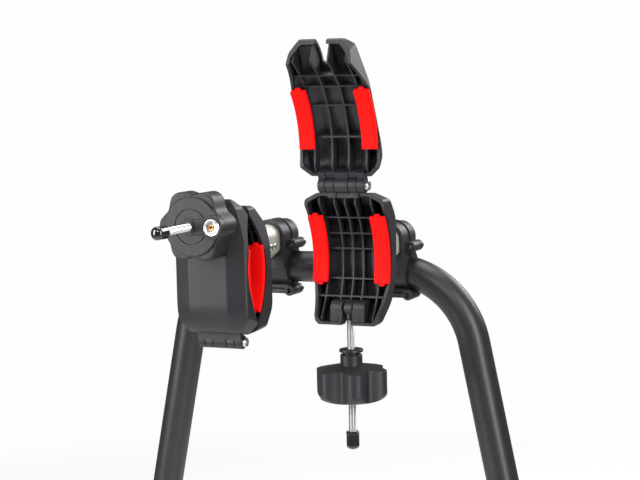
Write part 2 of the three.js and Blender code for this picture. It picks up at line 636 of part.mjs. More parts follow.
function endCap() {
  const start = BOLT.length - BOLT.capOverlap;
  const outline = new THREE.Shape();
  outline.moveTo(0, start);
  outline.lineTo(CAP.radius, start);
  outline.lineTo(CAP.radius, start + CAP.length - CAP.nose);
  outline.absellipse(0, start + CAP.length - CAP.nose, CAP.radius, CAP.nose, 0, Math.PI / 2);
  const lathe = new THREE.LatheGeometry(outline.getPoints(2), 14);
  lathe.rotateX(Math.PI);
  return solidOf(lathe)
    .subtract(alongY(disc(0, 0, BOLT.diameter / 2 + GAP), -BOLT.length - GAP, -start + 1, 6));
}

const WASHER_START = SEAT_DISTANCE + GAP;
const KNOB_START = WASHER_START + WASHER.thickness + GAP;

function boltBore() {
  return alongY(disc(0, 0, BOLT.diameter / 2 + 2 * RUNNING), -200, 0, 6);
}

function thrustWasher() {
  return alongY(disc(0, 0, WASHER.radius), -WASHER_START - WASHER.thickness, -WASHER_START, ROUND).subtract(boltBore());
}

function scallopedOutline(radius, depth) {
  const count = KNOB.lobes * 6;
  const points = [];
  for (let i = 0; i < count; i += 1) {
    const turn = (Math.PI * 2 * i) / count;
    const r = radius - depth + depth * Math.cos(KNOB.lobes * turn);
    points.push([r * Math.cos(turn), r * Math.sin(turn)]);
  }
  return polygon(points);
}

function knob() {
  const hubEnd = KNOB_START + KNOB.hubHeight;
  const hub = alongY(disc(0, 0, KNOB.hubRadius), -hubEnd - 1, -KNOB_START, ROUND);
  const body = alongY(scallopedOutline(KNOB.radius, KNOB.lobeDepth), -hubEnd - KNOB.height, -hubEnd);
  return hub.add(body).subtract(boltBore());
}

function lockingKnob() {
  const k = LOCK_KNOB;
  const face = KNOB_START + k.height;
  const body = alongY(scallopedOutline(KNOB.radius, KNOB.lobeDepth), -face, -KNOB_START);
  const disk = alongY(disc(0, 0, k.faceRadius), -face - k.faceRise, -face + 1);
  const boss = alongY(disc(-k.bossOffset, 0, k.bossRadius), -face - k.bossRise, -face, ROUND);
  const web = alongY(rectangle(-k.bossOffset, -k.hubRadius, 0, k.hubRadius), -face - k.bossRise + 2, -face, ROUND);
  const hub = alongY(disc(0, 0, k.hubRadius), -face - k.bossRise, -face, ROUND);
  const lockHole = alongY(disc(-k.bossOffset, 0, LOCK.radius + GAP), -face - 40, -face - k.bossRise + LOCK.length + GAP, ROUND);
  return joined([body, disk, boss, web, hub]).subtract(lockHole).subtract(boltBore());
}

function lockBarrel() {
  const face = KNOB_START + LOCK_KNOB.height + LOCK_KNOB.bossRise;
  const slot = box([-LOCK_KNOB.bossOffset - LOCK.slotLength / 2, -face - 1, -LOCK.slotWidth / 2],
    [-LOCK_KNOB.bossOffset + LOCK.slotLength / 2, -face + LOCK.slotDepth, LOCK.slotWidth / 2]);
  return alongY(disc(-LOCK_KNOB.bossOffset, 0, LOCK.radius), -face, -face + LOCK.length, ROUND).subtract(slot);
}

// ---- holders --------------------------------------------------------------------------------
function boltGroup(side, locking) {
  const group = new THREE.Group();
  group.add(pieceMesh(`${side}_swivel_bolt`, swivelBolt(), ZINC));
  group.add(pieceMesh(`${side}_bolt_cap`, endCap(), GLOSS_BLACK));
  group.add(pieceMesh(`${side}_thrust_washer`, thrustWasher(), MOULDED_BLACK));
  group.add(pieceMesh(`${side}_knob`, locking ? lockingKnob() : knob(), MOULDED_BLACK));
  if (locking) group.add(pieceMesh(`${side}_lock_barrel`, lockBarrel(), NICKEL));
  group.position.set(0, PIVOT.depth, -PIVOT.distance);
  return group;
}

function coverGroup(side) {
  const hinged = new THREE.Group();
  const pieces = [pieceMesh(`${side}_cover`, cover(), MOULDED_BLACK)];
  for (const [place, sign] of [['a', -1], ['b', 1]]) {
    pieces.push(pieceMesh(`${side}_cover_pad_${place}`, pad(sign, true), RED_RUBBER));
  }
  for (const piece of pieces) {
    piece.position.set(0, -PARTING, -HINGE.distance);
    hinged.add(piece);
  }
  hinged.position.set(0, PARTING, HINGE.distance);
  return hinged;
}

function jaw(side, closed, armInJaw) {
  const group = new THREE.Group();
  group.add(pieceMesh(`${side}_inner_shell`, innerShell(armInJaw), MOULDED_BLACK));
  for (const [place, sign] of [['a', -1], ['b', 1]]) {
    group.add(pieceMesh(`${side}_inner_pad_${place}`, pad(sign, false), RED_RUBBER));
  }
  group.add(pieceMesh(`${side}_hinge_screw`, hingeScrew(closed ? -1 : 1), ZINC));
  const pin = pieceMesh(`${side}_bolt_pin`, boltPin(), ZINC);
  pin.position.set(0, PIVOT.depth, -PIVOT.distance);
  group.add(pin);

  const covered = coverGroup(side);
  covered.rotation.x = closed ? 0 : -degrees(180 - OPEN_LEAN);
  group.add(covered);

  const bolt = boltGroup(side, closed);
  bolt.rotation.x = closed ? 0 : Math.PI / 2;
  group.add(bolt);
  return group;
}

function holder(side, holderX, closed) {
  const group = new THREE.Group();
  group.add(pieceMesh(`${side}_collar_front`, collarFront(holderX), MOULDED_BLACK));
  group.add(pieceMesh(`${side}_collar_back`, collarBack(holderX), MOULDED_BLACK));
  for (const [place, x, z] of collarScrewPlaces()) {
    group.add(pieceMesh(`${side}_collar_screw_${place}`, collarScrew(x, z), ZINC));
  }
  group.add(pieceMesh(`${side}_arm`, arm(holderX), SATIN_ALUMINIUM));
  const screwDepths = { rear: REAR_SCREWS, front: FRONT_SCREWS };
  for (const [end, y] of Object.entries(screwDepths)) {
    for (const [place, sign] of [['a', -1], ['b', 1]]) {
      group.add(pieceMesh(`${side}_arm_screw_${end}_${place}`, armScrewPiece(y, sign), ZINC));
    }
  }
  // The closed jaw is mounted half a turn round its axis, so its hinge is at the bottom.
  const jawFrame = new THREE.Group();
  jawFrame.rotation.y = closed ? Math.PI : 0;
  jawFrame.position.set(0, 0, JAW_AXIS_HEIGHT + (closed ? -JAW_OFFSET : JAW_OFFSET));
  jawFrame.updateMatrix();
  jawFrame.add(jaw(side, closed, jawFrame.matrix.clone().invert()));
  group.add(jawFrame);
  group.position.set(holderX, 0, TUBE_HEIGHT);
  return group;
}

// ---- assembly -------------------------------------------------------------------------------
const frameHolderHoop = new THREE.Group();
frameHolderHoop.add(pieceMesh('hoop_tube', hoopTube(), POWDER_BLACK));
frameHolderHoop.add(pieceMesh('left_foot_plate', footPlate(-1), POWDER_BLACK));
frameHolderHoop.add(pieceMesh('right_foot_plate', footPlate(1), POWDER_BLACK));
frameHolderHoop.add(holder('left', LEFT_HOLDER_X, true));
frameHolderHoop.add(holder('right', RIGHT_HOLDER_X, false));

export default frameHolderHoop;
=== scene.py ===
"""A bench hoop for bicycle frames: a bent steel tube that carries two clamping jaws.

Shapes are drawn in millimetres and placed in metres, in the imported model's frame:
+X along the top tube, -Y towards the user, +Z up.
"""

import json
import math

import bmesh
import bpy
from mathutils import Matrix, Vector


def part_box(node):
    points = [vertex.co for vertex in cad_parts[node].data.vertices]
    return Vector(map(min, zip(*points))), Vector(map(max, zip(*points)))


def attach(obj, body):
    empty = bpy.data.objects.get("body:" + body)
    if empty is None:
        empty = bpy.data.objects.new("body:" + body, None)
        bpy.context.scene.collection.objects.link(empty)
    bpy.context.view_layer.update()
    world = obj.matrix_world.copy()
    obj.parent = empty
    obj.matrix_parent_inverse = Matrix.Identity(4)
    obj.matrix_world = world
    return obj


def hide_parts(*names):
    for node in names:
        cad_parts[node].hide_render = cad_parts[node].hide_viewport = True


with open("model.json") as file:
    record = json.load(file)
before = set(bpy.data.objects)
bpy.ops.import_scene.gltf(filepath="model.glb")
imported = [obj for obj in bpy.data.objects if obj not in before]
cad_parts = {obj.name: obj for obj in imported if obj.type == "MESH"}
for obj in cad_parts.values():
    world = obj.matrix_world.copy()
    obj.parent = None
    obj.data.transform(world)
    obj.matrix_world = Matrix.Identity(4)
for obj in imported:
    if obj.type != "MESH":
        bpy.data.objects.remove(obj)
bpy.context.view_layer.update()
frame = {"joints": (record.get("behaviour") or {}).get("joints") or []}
JOINTS = {joint["name"]: joint for joint in frame["joints"]}
MM = 0.001


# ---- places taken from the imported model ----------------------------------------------
def middle(node):
    low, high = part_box(node)
    return (low + high) / 2 / MM


PIVOT_DEPTH = -134.0
PIVOT_DISTANCE = 50.0
RIGHT_PIVOT = middle("right_bolt_pin")
LEFT_PIVOT = middle("left_bolt_pin")
RIGHT_JAW_AT = RIGHT_PIVOT + Vector((0, -PIVOT_DEPTH, PIVOT_DISTANCE))
LEFT_JAW_AT = LEFT_PIVOT + Vector((0, -PIVOT_DEPTH, -PIVOT_DISTANCE))
HINGE_AT = Vector(JOINTS["right_cover_hinge"]["pos_m"]) / MM
TUBE_RADIUS = 17.5
TUBE_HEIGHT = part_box("hoop_tube")[1].z / MM - TUBE_RADIUS
LEFT_FOOT = middle("left_foot_plate")
RIGHT_FOOT = middle("right_foot_plate")
PLATE_THICKNESS = 2 * RIGHT_FOOT.z

OPEN_LEAN = 25.0
HALF_TURN = Matrix.Rotation(math.pi, 4, "Y")
RIGHT_JAW = Matrix.Translation(RIGHT_JAW_AT)
LEFT_JAW = Matrix.Translation(LEFT_JAW_AT) @ HALF_TURN
RIGHT_COVER = (Matrix.Translation(HINGE_AT)
               @ Matrix.Rotation(-math.radians(180 - OPEN_LEAN), 4, "X")
               @ Matrix.Translation(RIGHT_JAW_AT - HINGE_AT))
RIGHT_BOLT = Matrix.Translation(RIGHT_PIVOT) @ Matrix.Rotation(math.pi / 2, 4, "X")
LEFT_BOLT = Matrix.Translation(LEFT_PIVOT) @ HALF_TURN
RIGHT_HOLDER = Matrix.Translation((RIGHT_PIVOT.x, 0, TUBE_HEIGHT))
LEFT_HOLDER = Matrix.Translation((LEFT_PIVOT.x, 0, TUBE_HEIGHT))

# ---- sizes, in millimetres -------------------------------------------------------------
GAP = 0.3
TOP_STRAIGHT = 80.0
BEND_RADIUS = 97.0
LEG_SPLAY = math.radians(11.5)

PLATE_CORNER, PLATE_HOLE, PLATE_HOLE_INSET = 8.0, 4.5, 13.0

COLLAR_HALF, COLLAR_WALL, COLLAR_FRONT, COLLAR_BACK = 19.5, 5.0, 30.0, 24.0
COLLAR_RING = TUBE_RADIUS + COLLAR_WALL
COLLAR_BASE, STRAP_HALF, STRAP_TOP, LUG_DEPTH = 29.0, 18.0, 14.0, 9.0
SCREW_SIDE, SCREW_ABOVE, SCREW_BELOW, LUG_RADIUS, SCREW_GRIP = 23.0, 27.0, 26.0, 6.0, 18.0

ARM_HALF, ARM_TOP, ARM_BOTTOM, ARM_CHAMFER, ARM_WALL, ARM_OVER = 14.0, 36.0, 12.0, 10.0, 3.5, 9.0
ARM_SCREW_HEIGHT, ARM_SCREW_PITCH = 27.0, 9.0

PARTING = -147.0
BASE_BACK = -113.0
BASE_RIM, COVER_RIM = PARTING + 1, PARTING - 1
SEAT = 42.0
COVER_FRONT = PIVOT_DEPTH - SEAT
COVER_SHOULDER = COVER_RIM - 9
ROUND_FROM, ROUND_REACH = 34.0, 34.0
HAIR = 0.03
SHELL_WALL = 3.0
END_WALL = 3.6
RIB, RIB_ROOT, RIB_SET_BACK, OUTER_RIB = 1.8, 1.5, 2.5, 28.5
BASE_CROSS_RIBS = (-38, -20, 11, 27, 44)
COVER_CROSS_RIBS = (-38, -24, -2, 31)

HINGE_DISTANCE, BARREL, HINGE_SCREW = 78.0, 7.5, 3.0
PAD_WIDTH, PAD_THICKNESS, PAD_EDGE = 16.6, 5.0, 42.6
NOTCH_HALF, NOTCH_DISTANCE = 6.3, 51.5

BOLT_RADIUS, BOLT_LENGTH, THREAD_PITCH, THREAD_DEPTH = 4.0, 143.0, 1.25, 0.55
EYE_RADIUS, EYE_HALF = 7.5, 4.6
WASHER_AT, WASHER_RADIUS, WASHER_THICKNESS = 42.3, 12.5, 3.0
KNOB_AT, KNOB_RADIUS, KNOB_LOBES = 45.6, 38.5, 6
LOCK_OFFSET, LOCK_RADIUS, LOCK_FACE = 26.0, 9.4, 35.0


# ---- outlines ----------------------------------------------------------------------------
def arc(centre, radius, start, end, steps=12):
    """Points on an arc, from one angle to another in degrees."""
    turns = [math.radians(start + (end - start) * i / steps) for i in range(steps + 1)]
    return [(centre[0] + radius * math.cos(t), centre[1] + radius * math.sin(t)) for t in turns]


def circle(centre, radius, steps=48):
    return arc(centre, radius, 0, 360, steps)[:-1]


def rounded(corners, steps=4):
    """An outline whose corners (a, b, radius) become arcs; a corner (a, b) stays sharp."""
    outline = []
    for before, corner, after in zip(corners[-1:] + corners[:-1], corners, corners[1:] + corners[:1]):
        here = Vector(corner[:2])
        if len(corner) == 2 or corner[2] <= 0:
            outline.append(tuple(here))
            continue
        radius = corner[2]
        back = (Vector(before[:2]) - here).normalized()
        on = (Vector(after[:2]) - here).normalized()
        half = back.angle(on) / 2
        centre = here + (back + on).normalized() * (radius / math.sin(half))
        spokes = [here + side * (radius / math.tan(half)) - centre for side in (back, on)]
        first, last = (math.degrees(math.atan2(spoke.y, spoke.x)) for spoke in spokes)
        sweep = (last - first + 180) % 360 - 180
        outline += arc(centre, radius, first, first + sweep, steps)
    return outline


def rectangle(a0, b0, a1, b1, radius=0.0, steps=4):
    return rounded([(a0, b0, radius), (a1, b0, radius), (a1, b1, radius), (a0, b1, radius)], steps)


# ---- solids, as meshes in millimetres ------------------------------------------------------
ALONG = {"x": Vector((1, 0, 0)), "y": Vector((0, 1, 0)), "z": Vector((0, 0, 1))}
ON_PLANE = {
    "x": lambda a, b, t: (t, a, b),
    "y": lambda a, b, t: (a, t, b),
    "z": lambda a, b, t: (a, b, t),
}


def finished(shape):
    """Closes a bmesh into a mesh whose faces point outwards."""
    bmesh.ops.remove_doubles(shape, verts=shape.verts, dist=0.002)
    bmesh.ops.recalc_face_normals(shape, faces=shape.faces)
    mesh = bpy.data.meshes.new("solid")
    shape.to_mesh(mesh)
    shape.free()
    return mesh


def bevel_edges(shape, width, segments=2, sharpness=35.0, chosen=lambda edge: True):
    limit = math.radians(sharpness)
    edges = [e for e in shape.edges if e.is_manifold and e.calc_face_angle() > limit and chosen(e)]
    bmesh.ops.bevel(shape, geom=edges, offset=width, offset_type="OFFSET", segments=segments,
                    profile=0.5, affect="EDGES", material=-1, clamp_overlap=True)


def prism(axis, outline, low, high, edge=0.0, segments=2):
    """The outline, drawn across an axis, carried from low to high, with its edges rounded."""
    shape = bmesh.new()
    face = shape.faces.new([shape.verts.new(ON_PLANE[axis](a, b, low)) for a, b in outline])
    grown = bmesh.ops.extrude_face_region(shape, geom=[face])["geom"]
    moved = [part for part in grown if isinstance(part, bmesh.types.BMVert)]
    bmesh.ops.translate(shape, vec=ALONG[axis] * (high - low), verts=moved)
    bmesh.ops.recalc_face_normals(shape, faces=shape.faces)
    if edge > 0:
        bevel_edges(shape, edge, segments)
    return finished(shape)


def lathe(axis, profile, at=(0, 0, 0), steps=64):
    """A closed round solid: profile is (radius, distance) from the axis and back to it."""
    shape = bmesh.new()
    across = {"x": Vector((0, 0, 1)), "y": Vector((1, 0, 0)), "z": Vector((1, 0, 0))}[axis]
    verts = [shape.verts.new(across * r + ALONG[axis] * t + Vector(at)) for r, t in profile]
    edges = [shape.edges.new(pair) for pair in zip(verts, verts[1:] + verts[:1])]
    on_axis = [e for e in edges if all(abs((v.co - Vector(at)).dot(across)) < 1e-6 for v in e.verts)]
    for spare in on_axis:
        shape.edges.remove(spare)
        edges.remove(spare)
    bmesh.ops.spin(shape, geom=[*verts, *edges], cent=at, axis=ALONG[axis], angle=math.tau,
                   steps=steps, use_merge=True, use_duplicate=False)
    return finished(shape)


def combined(operation, body, tools):
    scene = bpy.context.scene
    holder = bpy.data.objects.new("holder", body)
    helpers = [bpy.data.objects.new("helper", tool) for tool in tools]
    for item in [holder, *helpers]:
        scene.collection.objects.link(item)
    for helper in helpers:
        modifier = holder.modifiers.new("combine", "BOOLEAN")
        modifier.operation = operation
        modifier.solver = "MANIFOLD"
        modifier.object = helper
    graph = bpy.context.evaluated_depsgraph_get()
    result = bpy.data.meshes.new_from_object(holder.evaluated_get(graph))
    for item in [holder, *helpers]:
        bpy.data.objects.remove(item)
    if not result.polygons:
        raise RuntimeError(f"{operation} of {len(tools)} solids left nothing")
    return result


def joined(*solids):
    return combined("UNION", solids[0], solids[1:])


def cut(body, *tools):
    return combined("DIFFERENCE", body, tools)


def common(body, *tools):
    return combined("INTERSECT", body, tools)


def softened(solid, width, segments=2, sharpness=30.0, chosen=lambda edge: True):
    """The solid with its sharp edges rounded over."""
    shape = bmesh.new()
    shape.from_mesh(solid)
    bmesh.ops.remove_doubles(shape, verts=shape.verts, dist=0.05)
    bmesh.ops.dissolve_limit(shape, angle_limit=math.radians(0.4), verts=shape.verts, edges=shape.edges)
    bevel_edges(shape, width, segments, sharpness, chosen)
    return finished(shape)


def moved(solid, matrix):
    copy = solid.copy()
    copy.transform(matrix)
    if matrix.determinant() < 0:
        copy.flip_normals()
    return copy


def mirrored(solid):
    return moved(solid, Matrix.Scale(-1, 4, (1, 0, 0)))


# ---- finishes ------------------------------------------------------------------------------
class Wire:
    """A socket in a material's node tree; sums and products of wires add their Math nodes."""

    def __init__(self, tree, socket):
        self.tree = tree
        self.socket = socket

    def math(self, operation, first, second):
        node = self.tree.nodes.new("ShaderNodeMath")
        node.operation = operation
        for place, value in zip(node.inputs, (first, second)):
            if isinstance(value, Wire):
                self.tree.links.new(value.socket, place)
            else:
                place.default_value = value
        return Wire(self.tree, node.outputs[0])

    def __add__(self, other):
        return self.math("ADD", self, other)

    def __sub__(self, other):
        return self.math("SUBTRACT", self, other)

    def __rsub__(self, other):
        return self.math("SUBTRACT", other, self)

    def __mul__(self, other):
        return self.math("MULTIPLY", self, other)

    def __truediv__(self, other):
        return self.math("DIVIDE", self, other)

    __radd__ = __add__
    __rmul__ = __mul__


class Finish:
    """A material built round one Principled shader, in object coordinates."""

    def __init__(self, name, **constants):
        self.material = bpy.data.materials.new(name)
        self.material.use_nodes = True
        self.tree = self.material.node_tree
        self.shader = self.tree.nodes["Principled BSDF"]
        self.place = self.node("ShaderNodeTexCoord", output="Object")
        for socket, value in constants.items():
            self.shader.inputs[socket.replace("_", " ")].default_value = value

    def node(self, kind, settings=None, output=0, **values):
        node = self.tree.nodes.new(kind)
        for setting, value in (settings or {}).items():
            setattr(node, setting, value)
        for socket, value in values.items():
            place = node.inputs[socket.replace("_", " ")]
            if isinstance(value, Wire):
                self.tree.links.new(value.socket, place)
            else:
                place.default_value = value
        return Wire(self.tree, node.outputs[output])

    def noise(self, size_mm, detail=2.0, roughness=0.5, distortion=0.0):
        return self.node("ShaderNodeTexNoise", Vector=self.place, Scale=1 / (size_mm * MM),
                         Detail=detail, Roughness=roughness, Distortion=distortion, output=0)

    def blend(self, factor, first, second):
        node = self.tree.nodes.new("ShaderNodeMix")
        node.data_type = "RGBA"
        self.tree.links.new(factor.socket, node.inputs["Factor"])
        node.inputs[6].default_value = (*first, 1)
        node.inputs[7].default_value = (*second, 1)
        return Wire(self.tree, node.outputs[2])

    def paint(self, **wires):
        for socket, wire in wires.items():
            self.tree.links.new(wire.socket, self.shader.inputs[socket.replace("_", " ")])

    def bump(self, height, depth_mm, strength=1.0):
        self.paint(Normal=self.node("ShaderNodeBump", Height=height, Distance=depth_mm * MM,
                                    Strength=strength))


def clipped(wire, low, high):
    return wire.math("MINIMUM", wire.math("MAXIMUM", (wire - low) / (high - low), 0.0), 1.0)


def powder_coat():
    coat = Finish("powder coat", Specular_IOR_Level=0.5)
    cloud = coat.noise(60)
    peel = coat.noise(2.4, 1.0)
    grain = coat.noise(0.5, 2.0)
    coat.paint(Base_Color=coat.blend(cloud, (0.011, 0.011, 0.013), (0.017, 0.017, 0.020)),
               Roughness=0.34 + 0.08 * cloud + 0.05 * grain)
    coat.bump(peel + 0.25 * grain, 0.09)
    return coat.material


def moulded_nylon():
    """Glass-filled nylon: charcoal, satin, a fine spark-eroded grain and faint flow marks."""
    nylon = Finish("moulded nylon", Specular_IOR_Level=0.45)
    grain = nylon.noise(0.35, 3.0, 0.6)
    flow = nylon.noise(26, 3.0, 0.55, 0.8)
    scuff = clipped(nylon.noise(5.5, 6.0, 0.75), 0.62, 0.8)
    shade = 0.65 * flow + 0.35 * scuff
    nylon.paint(Base_Color=nylon.blend(shade, (0.010, 0.010, 0.013), (0.019, 0.019, 0.023)),
                Roughness=0.36 + 0.1 * flow + 0.08 * grain - 0.06 * scuff)
    nylon.bump(grain + 0.6 * nylon.noise(1.3, 2.0), 0.05)
    return nylon.material


def dark_nylon():
    """The same nylon, wiped with oil, on the pieces that turn on the bolts."""
    nylon = Finish("washer nylon", Specular_IOR_Level=0.5)
    grain = nylon.noise(0.4, 3.0)
    nylon.paint(Base_Color=nylon.blend(grain, (0.010, 0.010, 0.012), (0.018, 0.018, 0.021)),
                Roughness=0.32 + 0.12 * grain)
    nylon.bump(grain, 0.03)
    return nylon.material


def dipped_vinyl():
    vinyl = Finish("dipped vinyl", Specular_IOR_Level=0.6, Coat_Weight=0.6, Coat_Roughness=0.06)
    wave = vinyl.noise(7, 1.0)
    vinyl.paint(Base_Color=vinyl.blend(wave, (0.006, 0.006, 0.007), (0.010, 0.010, 0.012)),
                Roughness=0.10 + 0.06 * wave)
    vinyl.bump(wave, 0.12)
    return vinyl.material


def red_rubber():
    rubber = Finish("red rubber", Specular_IOR_Level=0.12)
    grain = rubber.noise(0.6, 3.0)
    cloud = rubber.noise(14, 2.0)
    dust = clipped(rubber.noise(3.0, 5.0, 0.7), 0.6, 0.85)
    shade = 0.6 * cloud + 0.4 * dust
    rubber.paint(Base_Color=rubber.blend(shade, (0.86, 0.002, 0.001), (0.95, 0.006, 0.004)),
                 Roughness=0.58 + 0.14 * grain)
    rubber.bump(grain + 0.5 * cloud, 0.06)
    return rubber.material


def bright_zinc():
    zinc = Finish("bright zinc", Metallic=1.0)
    cloud = zinc.noise(9, 2.0)
    speck = zinc.noise(0.7, 3.0, 0.7)
    zinc.paint(Base_Color=zinc.blend(cloud, (0.50, 0.54, 0.53), (0.64, 0.66, 0.66)),
               Roughness=0.2 + 0.16 * speck + 0.06 * cloud)
    zinc.bump(speck, 0.02)
    return zinc.material


def polished_nickel():
    nickel = Finish("polished nickel", Metallic=1.0)
    speck = nickel.noise(0.6, 3.0)
    nickel.paint(Base_Color=nickel.blend(speck, (0.52, 0.50, 0.48), (0.62, 0.61, 0.59)),
                 Roughness=0.22 + 0.14 * speck)
    nickel.bump(speck, 0.015)
    return nickel.material


def worn_brass():
    brass = Finish("worn brass", Metallic=1.0)
    stain = brass.noise(1.6, 3.0)
    brass.paint(Base_Color=brass.blend(stain, (0.42, 0.24, 0.12), (0.62, 0.42, 0.22)),
                Roughness=0.24 + 0.2 * stain)
    brass.bump(stain, 0.03)
    return brass.material


def blasted_aluminium():
    alloy = Finish("blasted aluminium", Specular_IOR_Level=0.45)
    grain = alloy.noise(0.45, 3.0, 0.7)
    cloud = alloy.noise(22, 2.0)
    alloy.paint(Base_Color=alloy.blend(cloud, (0.64, 0.61, 0.54), (0.72, 0.69, 0.61)),
                Metallic=0.45 + 0.1 * cloud,
                Roughness=0.42 + 0.14 * grain)
    alloy.bump(grain, 0.04)
    return alloy.material


POWDER_AND_PAINTED_SHADE = powder_coat()
NYLON = moulded_nylon()
DARK_NYLON = dark_nylon()
VINYL = dipped_vinyl()
RUBBER = red_rubber()
ZINC = bright_zinc()
NICKEL = polished_nickel()
BRASS = worn_brass()
ALUMINIUM = blasted_aluminium()


def piece(name, solid, place, material, body, nodes=(), smooth=32.0):
    """A finished piece: the solid in its place in metres, with its finish, on its body."""
    mesh = moved(solid, Matrix.Scale(MM, 4) @ place)
    mesh.name = name
    mesh.polygons.foreach_set("use_smooth", [True] * len(mesh.polygons))
    mesh.set_sharp_from_angle(angle=math.radians(smooth))
    mesh.materials.clear()
    mesh.materials.append(material)
    made = bpy.data.objects.new(name, mesh)
    bpy.context.scene.collection.objects.link(made)
    weighted = made.modifiers.new("weighted normals", "WEIGHTED_NORMAL")
    weighted.keep_sharp = True
    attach(made, body)
    if nodes:
        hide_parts(*nodes)
    return made


# ---- hoop ----------------------------------------------------------------------------------
LEG_TOP = Vector((TOP_STRAIGHT + BEND_RADIUS * math.cos(LEG_SPLAY), 0,
                  TUBE_HEIGHT - BEND_RADIUS * (1 - math.sin(LEG_SPLAY))))


def tube_along_hoop(radius, sides=64, bend_steps=40, foot=0.0):
    """The hoop's round bar from foot to foot, as rings square to its centre line."""
    foot_x = LEG_TOP.x + (LEG_TOP.z - foot) * math.tan(LEG_SPLAY)
    turns = [LEG_SPLAY + (math.pi / 2 - LEG_SPLAY) * i / bend_steps for i in range(bend_steps + 1)]
    lean = Vector((math.cos(LEG_SPLAY), 0, math.sin(LEG_SPLAY)))
    half = [(Vector((foot_x, 0, foot)), lean)]
    for turn in turns:
        outward = Vector((math.cos(turn), 0, math.sin(turn)))
        half.append((Vector((TOP_STRAIGHT, 0, TUBE_HEIGHT - BEND_RADIUS)) + outward * BEND_RADIUS, outward))
    flip = Vector((-1, 1, 1))
    stations = [(at * flip, outward * flip) for at, outward in half] + half[::-1]
    shape = bmesh.new()
    rings = []
    for at, outward in stations:
        angles = [math.tau * i / sides for i in range(sides)]
        rings.append([shape.verts.new(at + (outward * math.cos(a) + Vector((0, math.sin(a), 0))) * radius)
                      for a in angles])
    for first, second in zip(rings, rings[1:]):
        for k in range(sides):
            n = (k + 1) % sides
            shape.faces.new((first[k], first[n], second[n], second[k]))
    shape.faces.new(rings[0])
    shape.faces.new(rings[-1])
    return finished(shape)


def hoop():
    tube = tube_along_hoop(TUBE_RADIUS, foot=-20.0)
    floor = prism("z", rectangle(-500, -60, 500, 60), -60, PLATE_THICKNESS + 0.05)
    return cut(tube, floor)


def foot_plate(centre):
    low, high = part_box("right_foot_plate")
    half = (high - low) / 2 / MM
    outline = rectangle(centre.x - half.x, -half.y, centre.x + half.x, half.y, PLATE_CORNER, 8)
    plate = prism("z", outline, 0, PLATE_THICKNESS, 0.8)
    hole_x, hole_y = half.x - PLATE_HOLE_INSET, half.y - PLATE_HOLE_INSET
    profile = [(0, -1), (PLATE_HOLE, -1), (PLATE_HOLE, PLATE_THICKNESS - 0.8),
               (PLATE_HOLE + 0.9, PLATE_THICKNESS + 0.1), (PLATE_HOLE + 0.9, PLATE_THICKNESS + 1),
               (0, PLATE_THICKNESS + 1)]
    holes = [lathe("z", profile, (centre.x + sx * hole_x, sy * hole_y, 0), 32)
             for sx in (-1, 1) for sy in (-1, 1)]
    return cut(plate, *holes)


def weld_bead(side):
    """The rippled fillet that joins a leg to its plate."""
    shape = bmesh.new()
    count = 90
    centre = Vector((side * (LEG_TOP.x + (LEG_TOP.z - PLATE_THICKNESS) * math.tan(LEG_SPLAY)), 0,
                     PLATE_THICKNESS))
    stretch = 1 / math.cos(LEG_SPLAY)
    rings = []
    for i in range(count):
        turn = math.tau * i / count
        size = 2.3 + 0.35 * math.cos(5 * math.tau * i / count * 3) + 0.15 * math.sin(7 * turn)
        out = Vector((math.cos(turn), math.sin(turn), 0))
        foot = centre + Vector((TUBE_RADIUS * stretch * out.x, TUBE_RADIUS * out.y, 0))
        lean = side * -math.tan(LEG_SPLAY)
        points = [(-0.8, -0.05), (size, -0.05), (0.62 * size, 0.62 * size), (0.1, 1.15 * size),
                  (-0.8, 1.15 * size)]
        rings.append([shape.verts.new(foot + out * a + Vector((lean * b, 0, b))) for a, b in points])
    for first, second in zip(rings, rings[1:] + rings[:1]):
        for k in range(len(first)):
            n = (k + 1) % len(first)
            shape.faces.new((first[k], first[n], second[n], second[k]))
    return finished(shape)


# ---- collar, arm and their screws ------------------------------------------------------------
def arch(half, bottom, top=ARM_TOP, radius=0.0):
    return rounded([(-half, bottom, radius), (half, bottom, radius), *arc((0, top), half, 0, 180, 28)])


def arm_outline(offset, round_off=1.5):
    half, bottom = ARM_HALF + offset, ARM_BOTTOM - offset
    chamfer = ARM_CHAMFER + offset * (2 - math.sqrt(2))
    corners = [(half, ARM_TOP), (-half, ARM_TOP), (-half, bottom + chamfer, round_off),
               (-half + chamfer, bottom, round_off), (half - chamfer, bottom, round_off),
               (half, bottom + chamfer, round_off)]
    return rounded(corners)[2:] + arc((0, ARM_TOP), half, 0, 180, 28)


def collar_screw_places():
    return [("upper_a", -SCREW_SIDE, SCREW_ABOVE), ("upper_b", SCREW_SIDE, SCREW_ABOVE),
            ("lower_a", -SCREW_SIDE + 4, -SCREW_BELOW), ("lower_b", SCREW_SIDE - 4, -SCREW_BELOW)]


def lugs(y0, y1):
    return [prism("y", circle((x, z), LUG_RADIUS, 32), y0, y1, 0.9, 3) for _, x, z in collar_screw_places()]


def collar_screw_holes():
    return [prism("y", circle((x, z), 2.6, 24), -SCREW_GRIP - 1, 60) for _, x, z in collar_screw_places()]


